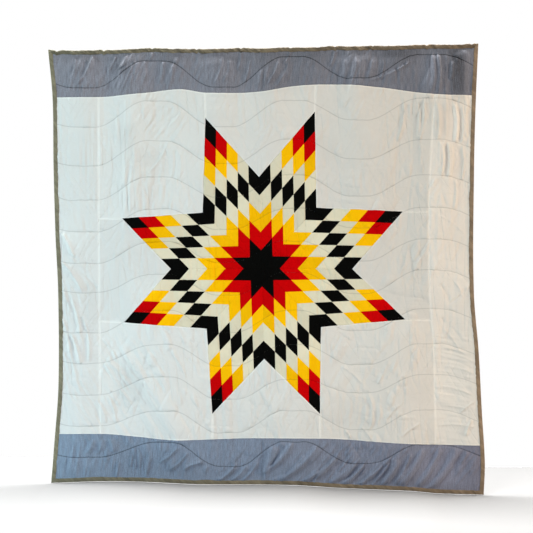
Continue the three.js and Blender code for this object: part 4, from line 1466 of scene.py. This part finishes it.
# Painted shade where cloth lies in a fold's own shade, and painted light where the change is positive,
# placed over the photograph, in its pixels
PAINTED_SHADE_AND_LIGHT = [  # x, y, half width, half height, change of tone
    (458, 72, 7, 26, -0.42),
    (442, 118, 9, 21, -0.10),
    (456, 121, 4.5, 20, 0.07),
    (470.5, 76, 3, 26, 0.12),
    (431, 75, 10, 19, 0.10),
    (400, 53, 22, 5, -0.16),
    (155, 57, 110, 5, -0.10),
    (330, 52, 60, 5, -0.10),
    (119, 69, 10, 5, -0.16),
    (262, 70, 46, 20, -0.13),
    (150, 465, 38, 14, -0.12),
    (440, 466, 30, 18, 0.18),
    (90, 305, 8, 20, -0.05),
    (128, 388, 14, 22, -0.06),
    (62, 335, 12, 50, -0.03),
    (142, 300, 14, 26, 0.03),
    (150, 160, 20, 13, -0.04),
    (128, 136, 8, 12, -0.05),
    (347, 356, 12, 7, -0.04),
    (421, 391, 13, 12, -0.04),
    (348, 411, 19, 14, -0.03),
    (452, 240, 14, 12, -0.03),
    (330, 150, 10, 14, -0.03),
]
# Painted shade: the cloth's upper slope where it swells out between two held places is darkened against the
# light it catches
BELLY_SHADE = 0.15              # the cloth is darker where it swells out


# Painted shade and light for the tone: the swelling cloth darkened, and each listed patch darker or lighter
def painted_shade_and_light(x, z):
    _, _, t, slack = held_span(x)
    upper = np.exp(-((top_edge(x) - z - BELLY_START / 2) / (BELLY_START / 2)) ** 2)
    tone = -BELLY_SHADE * np.where(slack, np.sin(np.pi * t) ** 2, 0) * upper
    for px, py, half_width, half_height, change in PAINTED_SHADE_AND_LIGHT:
        cx, cz = from_photo(px, py)
        across = (x - cx) / (half_width * MM_PER_PIXEL)
        down = (z - cz) / (half_height * MM_PER_PIXEL)
        tone += change * np.exp(-(across ** 4) - down ** 4)
    return tone


STITCH_SHADE_REACH = 1.3
ALLOWANCE_SHADE = 1             # how much wider than its relief an allowance shows
DIAMOND_TONES = 0.07            # how far the star's diamonds differ in tone
DIAMOND_SEED = 40


def quilted_piece(name, outline, materials, seams=(), star_index=None):
    mesh, made = cloth_mesh(name + "_cloth", outline, seams)
    obj = place_piece(name + "_cloth", mesh, materials)
    total = made["total"]
    count = len(mesh.vertices)
    allowance_and_seam_shade = np.zeros(count)
    allowance_and_seam_shade[:total] = smooth((ALLOWANCE_WIDTH + ALLOWANCE_SHADE - made["seam_gap"]) / ALLOWANCE_EDGE)
    x, z = made["flat"].T
    # Painted shade along the grooves of the quilting lines
    stitch_groove_shade = np.zeros(count)
    stitch_groove_shade[:total] = np.exp(-(quilting_distances(x, z)[2] / STITCH_SHADE_REACH) ** 2)
    tone = np.full(count, PIECE_TONES.get(name, 0.0))
    # Each piece's tone, with the painted shade and light added over its face
    tone[:total] += painted_shade_and_light(x, z)
    kinds = made["kinds"] * (len(materials) - 1)
    if star_index is not None:
        centres = made["flat"][made["faces"]].mean(1)
        i, j = patch_of(star_index, centres)
        wanted = [materials.index(colour) for colour in PATCH_COLOURS]
        kinds[:len(centres)] = np.array(wanted)[i + j]
        i, j = patch_of(star_index, made["flat"])
        draws = np.random.default_rng(DIAMOND_SEED + star_index)
        tone[:total] = draws.uniform(-DIAMOND_TONES, DIAMOND_TONES, (PATCHES, PATCHES))[i, j]
    mesh.polygons.foreach_set("material_index", kinds.astype(np.int32))
    point_attribute(mesh, "allowance_and_seam_shade", allowance_and_seam_shade)
    point_attribute(mesh, "stitch_groove_shade", stitch_groove_shade)
    point_attribute(mesh, "tone", tone)
    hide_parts(name)


# The binding: its section is wrapped round the hem, d in from the edge and n towards the back
BINDING_HALF = HEM_HALF + SEAM_GAP + BINDING_CLOTH
FOLD_RADIUS = 3.0
BINDING_STEP = 4.0
ARC_STEPS = 4
FACE_PLACES = (5.0, 8.0, 11.0, 14.0, 16.4, 17.6)
BINDING_PILLOW = 0.45
LIP_OVER = (0.5, 0.1)           # the tape's folded edge reaches past its width, outside and inside
LIP_DROP = 0.5
LINING_GAP = 0.25               # between the hem and the tape's inner face
LINING_FOLD = (1.3, 1.6)        # where the inner face turns: in from the edge, and its radius
BACK_SWELL = 0.2
BINDING_START = {"left": -910.0, "right": 930.0, "top": -5.0, "bottom": -1880.0}
BINDING_ROUNDS = 8


def binding_profile():
    """Matching points of the binding's outer and inner faces, from its front hem to its back hem."""
    outer = [(BINDING_WIDTH + LIP_OVER[0], -HEM_HALF - LIP_DROP)]
    inner = [(BINDING_WIDTH + LIP_OVER[1], -HEM_HALF - LINING_GAP)]
    for d in reversed(FACE_PLACES):
        pillow = BINDING_PILLOW * math.sin(math.pi * (d - FOLD_RADIUS) / (BINDING_WIDTH - FOLD_RADIUS))
        outer.append((d, -BINDING_HALF - pillow))
        inner.append((d, -HEM_HALF - LINING_GAP))
    for k in range(-ARC_STEPS, ARC_STEPS + 1):
        turn = math.pi / 2 * k / ARC_STEPS
        outer.append((FOLD_RADIUS * (1 - math.cos(turn)), BINDING_HALF * math.sin(turn)))
        lining = LINING_FOLD[0] + LINING_FOLD[1] * (1 - math.cos(turn))
        inner.append((lining, (HEM_HALF + LINING_GAP) * math.sin(turn)))
    for d in FACE_PLACES:
        outer.append((d, BINDING_HALF + BACK_SWELL))
        inner.append((d, HEM_HALF + LINING_GAP))
    outer.append((BINDING_WIDTH + LIP_OVER[0], HEM_HALF + LIP_DROP))
    inner.append((BINDING_WIDTH + LIP_OVER[1], HEM_HALF + LINING_GAP))
    return outer, inner


def binding_place(side, share, d):
    """A place along one side's binding, d in from the edge, as x and z."""
    d = np.broadcast_to(d, np.shape(share)).astype(float)
    if side in ("left", "right"):
        edge = (lambda z: left_edge(z) + d) if side == "left" else (lambda z: right_edge(z) - d)
        top, bottom = (np.full(d.shape, BINDING_START[end]) for end in ("top", "bottom"))
        for _ in range(BINDING_ROUNDS):
            top = top_edge(edge(top)) - d
            bottom = bottom_edge(edge(bottom)) + d
        z = top + (bottom - top) * share
        return edge(z), z
    edge = (lambda x: top_edge(x) - d) if side == "top" else (lambda x: bottom_edge(x) + d)
    left, right = (np.full(d.shape, BINDING_START[end]) for end in ("left", "right"))
    for _ in range(BINDING_ROUNDS):
        left = left_edge(edge(left)) + d
        right = right_edge(edge(right)) - d
    x = left + (right - left) * share
    return x, edge(x)


BINDING_GAIN = {"top": 3.3, "left": 1.9, "right": 2.1, "bottom": 2.1}
BINDING_TONES = {"top": -0.26, "left": 0.12, "right": 0.1, "bottom": 0.0}
BINDING_LENGTHS = {"left": 1866, "right": 1943, "top": 1856, "bottom": 1864}
BINDING_BACK_GAIN = 0.6
BINDING_BACK_SHIFT = 300
HEM_WANDER = 1.5                # how unevenly the tape's inner edge was folded
HEM_WANDER_FROM = (9.0, 8.0)    # where on the tape that starts, and over what width
HEM_WAVES = [(38.0, 4.4, 1.0), (11.0, 8.8, 0.6)]    # length, row of the noise, share
DRAG_HEIGHTS = (0.55, 0.3)
SEWN_PLACE = (16.8, 1.4)        # the dimples' distance in from the edge, and their half width
SEWN_PITCH = 5.5
SEWN_DEPTH = 0.4
FOLD_LIGHTER = 0.12                   # how much lighter the tape is along its fold
FOLD_LIGHTER_SHARE = 0.6


def binding_creases(x, z, d):
    """Slanting drag folds in the tape, and small dimples where it is sewn down."""
    rising = noise((x + z) / 9.0 + 3, (x - z) / 60.0) * DRAG_HEIGHTS[0]
    falling = noise((x - z) / 11.0, (x + z) / 50.0 + 8) * DRAG_HEIGHTS[1]
    beat = 0.5 + 0.5 * np.cos((x + z) / SEWN_PITCH * 2 * math.pi)
    sewn = np.exp(-((d - SEWN_PLACE[0]) / SEWN_PLACE[1]) ** 2) * beat
    return (rising + falling) * np.clip(d / FACE_PLACES[0], 0, 1) - SEWN_DEPTH * sewn


def binding_piece(side, length):
    """One side's tape: rows of points along it, wrapped round its section, and an end cap on each end."""
    name = "binding_" + side
    outer, inner = binding_profile()
    stations = round(length / BINDING_STEP)
    share = np.linspace(0, 1, stations + 1)
    loop = outer + inner[::-1]
    rows = []
    for k, (d, n) in enumerate(loop):
        hem = smooth((d - HEM_WANDER_FROM[0]) / HEM_WANDER_FROM[1]) * HEM_WANDER
        at = share * length
        wander = hem * sum(part * noise(at / wave, at * 0 + row) for wave, row, part in HEM_WAVES)
        x, z = binding_place(side, share, d + wander)
        y = -swell(x, z) + n
        if k < len(outer) and n < 0:
            y = y - BINDING_GAIN[side] * binding_creases(x, z, d)
        if 0 < k < len(outer) - 1 and n > 0:
            y = y + BINDING_BACK_GAIN * binding_creases(x + BINDING_BACK_SHIFT, z, d)
        rows.append(np.stack([x, y, z], 1))
    count = len(loop)
    verts = np.stack(rows, 1).reshape(-1, 3)
    triangles = []
    for k in range(count):
        j = (k + 1) % count
        s = np.arange(stations) * count
        triangles.append(np.stack([s + k, s + j, s + count + j], 1))
        triangles.append(np.stack([s + k, s + count + j, s + count + k], 1))
    faces = np.concatenate(triangles)
    caps = []
    for first, flip in ((0, False), (stations * count, True)):
        for i in range(len(outer) - 1):
            a, b = first + i, first + i + 1
            c, d = first + count - 2 - i, first + count - 1 - i
            caps += [(a, c, b), (a, d, c)] if not flip else [(a, b, c), (a, c, d)]
    faces = np.concatenate([faces, caps])
    if side in ("left", "bottom"):
        faces = faces[:, ::-1]
    mesh = bpy.data.meshes.new(name + "_tape")
    fill_mesh(mesh, verts, faces)
    obj = place_piece(name + "_tape", mesh, ["binding"])
    fold_lighter = [FOLD_LIGHTER if d < FOLD_RADIUS * FOLD_LIGHTER_SHARE else 0.0 for d, _ in loop]
    worn = BINDING_TONES[side] + np.array(fold_lighter)
    point_attribute(mesh, "tone", np.tile(worn, stations + 1))
    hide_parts(name)


# The quilting thread: a running stitch down in each line
STITCH_LENGTH = 3.4
STITCH_GAP = 2.8
THREAD_RADIUS = 0.36
THREAD_SIDES = 5
THREAD_RINGS = [(-1.0, 0.3), (-0.5, 1.0), (0.5, 1.0), (1.0, 0.3)]   # place along it, share of radius
THREAD_DIVE = (0.15, 0.55)      # how deep a stitch lies in its middle, and how much more at its ends
LINE_ENDS = (-920.0, 940.0)
TAPE_MARGIN = 5                 # the stitches end this far before the tape
STITCH_JITTER = 0.5


def stitch_places():
    """Middle and direction of each stitch, as rows of x, z, and slope."""
    pitch = STITCH_LENGTH + STITCH_GAP
    rows = []
    for index in range(len(QUILTING)):
        x = LINE_ENDS[0]
        while x < LINE_ENDS[1]:
            at = np.array([x])
            z = quilting_height(index, at)
            if border_distance(at, z)[0] > BINDING_WIDTH + TAPE_MARGIN:
                slope = (quilting_height(index, at + 2) - quilting_height(index, at - 2))[0] / 4
                rows.append((x, z[0], math.atan(slope)))
                x += pitch * math.cos(math.atan(slope)) + STITCH_JITTER * NOISE[index, int(x) % NOISE_SIZE]
            else:
                x += pitch
    return np.array(rows)


def quilting_thread():
    """Every stitch as its own short closed length of thread, sunk into the cloth at its ends."""
    places = stitch_places()
    x, z, turn = places.T
    reach = STITCH_LENGTH / 2
    verts = []
    for along, thick in THREAD_RINGS:
        px = x + np.cos(turn) * along * reach
        pz = z + np.sin(turn) * along * reach
        far = np.full(px.shape, FAR_AWAY)
        dive = THREAD_DIVE[0] + THREAD_DIVE[1] * along * along
        y = -swell(px, pz) - front_lift(px, pz, far, far) + dive
        for k in range(THREAD_SIDES):
            spin = 2 * math.pi * k / THREAD_SIDES
            up = math.cos(spin) * THREAD_RADIUS * thick
            out = math.sin(spin) * THREAD_RADIUS * thick
            verts.append(np.stack([px - np.sin(turn) * up, y - out, pz + np.cos(turn) * up], 1))
    verts = np.stack(verts, 1)
    per_stitch = len(THREAD_RINGS) * THREAD_SIDES
    faces = []
    for ring in range(len(THREAD_RINGS) - 1):
        for k in range(THREAD_SIDES):
            a, b = ring * THREAD_SIDES + k, ring * THREAD_SIDES + (k + 1) % THREAD_SIDES
            faces += [(a, a + THREAD_SIDES, b), (b, a + THREAD_SIDES, b + THREAD_SIDES)]
    last = (len(THREAD_RINGS) - 1) * THREAD_SIDES
    for k in range(1, THREAD_SIDES - 1):
        faces += [(0, k, k + 1), (last, last + k + 1, last + k)]
    faces = np.array(faces)[None] + (np.arange(len(places)) * per_stitch)[:, None, None]
    mesh = bpy.data.meshes.new("quilting_thread")
    fill_mesh(mesh, verts.reshape(-1, 3), faces.reshape(-1, 3))
    in_band = (z > top_seam(x)) | (z < bottom_seam(x))
    mesh.polygons.foreach_set("material_index", np.repeat(in_band.astype(np.int32), faces.shape[1]))
    place_piece("quilting_thread", mesh, ["thread", "dark_thread"])


GROUPS = [
    (band_outlines("top"), "chambray", ["top_chambray", "backing"]),
    (band_outlines("bottom"), "chambray", ["bottom_chambray", "backing"]),
    (strip_outlines(), "white_cotton", ["white", "backing"]),
    (ground_outlines(), "white_cotton", ["white", "backing"]),
]
for outlines, material_slot, materials in GROUPS:
    for name, outline in outlines.items():
        quilted_piece(name, outline, materials)
for i, (name, outline) in enumerate(star_outlines().items()):
    colours = ["black", "red", "yellow", "cream", "backing"]
    quilted_piece(name, outline, colours, patch_seams(i), i)
for side, length in BINDING_LENGTHS.items():
    binding_piece(side, length)
quilting_thread()


# Floor, lights and camera
FLOOR_DROP = 2.5
FLOOR_TONE = 0.31
FLOOR_REACH = 3400
FLOOR_FRONT = -3400
FLOOR_BACK = 900
FLOOR_STEP = 30
ROOM_LIGHT = 0.09
MIDDLE = (0.0, 0.0, -0.95)
LIGHTS = [  # name, place, aim, size, power, colour
    ("top", (-1.3, -3.6, 4.6), MIDDLE, (1.6, 1.1), 245, (1.0, 0.995, 0.98)),
    ("left", (-4.4, -2.0, -1.3), (-0.5, 0.0, -1.4), (1.0, 1.6), 104, (0.70, 0.96, 1.0)),
    ("right", (4.6, -1.8, -0.3), (0.5, 0.0, -0.9), (1.0, 1.6), 148, (1.0, 0.84, 0.69)),
    ("low", (-0.9, -2.3, -1.7), (-0.3, 0.0, -1.8), (1.6, 0.4), 13, (0.46, 0.66, 1.0)),
    ("overhead", (-0.5, 0.47, 2.6), (-0.5, 0.47, -1.9), (6.0, 1.15), 765, (1.0, 1.0, 1.0)),
]


def stage_floor():
    """A plain pale floor that the quilt's lower edge all but touches along its whole length."""
    x = np.arange(BOTTOM_EDGE[0][0], BOTTOM_EDGE[-1][0] + 1, FLOOR_STEP)
    x = np.concatenate([[-FLOOR_REACH], x, [BOTTOM_EDGE[-1][0], FLOOR_REACH]])
    z = bottom_edge(x) - FLOOR_DROP
    front = np.stack([x, np.full(x.shape, FLOOR_FRONT), z], 1)
    back = np.stack([x, np.full(x.shape, FLOOR_BACK), z], 1)
    count = len(x)
    faces = [(i, i + 1, count + i + 1, count + i) for i in range(count - 1)]
    mesh = bpy.data.meshes.new("floor")
    mesh.from_pydata((np.concatenate([front, back]) * MM).tolist(), [], faces)
    material = bpy.data.materials.new("floor")
    material.use_nodes = True
    shader = material.node_tree.nodes["Principled BSDF"]
    shader.inputs["Base Color"].default_value = (FLOOR_TONE, FLOOR_TONE, FLOOR_TONE, 1)
    shader.inputs["Roughness"].default_value = 0.9
    shader.inputs["Specular IOR Level"].default_value = 0.0
    mesh.materials.append(material)
    obj = bpy.data.objects.new("floor", mesh)
    bpy.context.scene.collection.objects.link(obj)


def area_light(name, place, aim, size, power, colour):
    data = bpy.data.lights.new(name, "AREA")
    data.shape = "RECTANGLE"
    data.size, data.size_y = size
    data.energy = power
    data.color = colour
    obj = bpy.data.objects.new(name, data)
    obj.location = place
    obj.rotation_euler = (Vector(aim) - Vector(place)).to_track_quat("-Z", "Y").to_euler()
    obj.visible_camera = False
    bpy.context.scene.collection.objects.link(obj)


def light_world():
    world = bpy.data.worlds.new("world")
    bpy.context.scene.world = world
    world.use_nodes = True
    tree = world.node_tree
    tree.nodes.clear()
    out = tree.nodes.new("ShaderNodeOutputWorld")
    mix = tree.nodes.new("ShaderNodeMixShader")
    path = tree.nodes.new("ShaderNodeLightPath")
    room = tree.nodes.new("ShaderNodeBackground")
    seen = tree.nodes.new("ShaderNodeBackground")
    room.inputs["Color"].default_value = (0.97, 0.99, 1.0, 1)
    room.inputs["Strength"].default_value = ROOM_LIGHT
    seen.inputs["Color"].default_value = (1, 1, 1, 1)
    seen.inputs["Strength"].default_value = 1.0
    tree.links.new(path.outputs["Is Camera Ray"], mix.inputs[0])
    tree.links.new(room.outputs[0], mix.inputs[1])
    tree.links.new(seen.outputs[0], mix.inputs[2])
    tree.links.new(mix.outputs[0], out.inputs["Surface"])


def place_camera():
    data = bpy.data.cameras.new("camera")
    data.sensor_width = SENSOR_WIDTH
    data.lens = SENSOR_WIDTH * CAMERA_DISTANCE / (IMAGE_PIXELS * MM_PER_PIXEL)
    camera = bpy.data.objects.new("camera", data)
    camera.location = (CAMERA_CENTRE[0] * MM, -CAMERA_DISTANCE * MM, CAMERA_CENTRE[1] * MM)
    camera.rotation_euler = (math.pi / 2, 0, 0)
    bpy.context.scene.collection.objects.link(camera)
    bpy.context.scene.camera = camera


stage_floor()
for light in LIGHTS:
    area_light(*light)
light_world()
place_camera()

scene = bpy.context.scene
scene.view_settings.view_transform = "Standard"
scene.view_settings.look = "None"
scene.view_settings.exposure = 0.0
scene.view_settings.gamma = 1.0
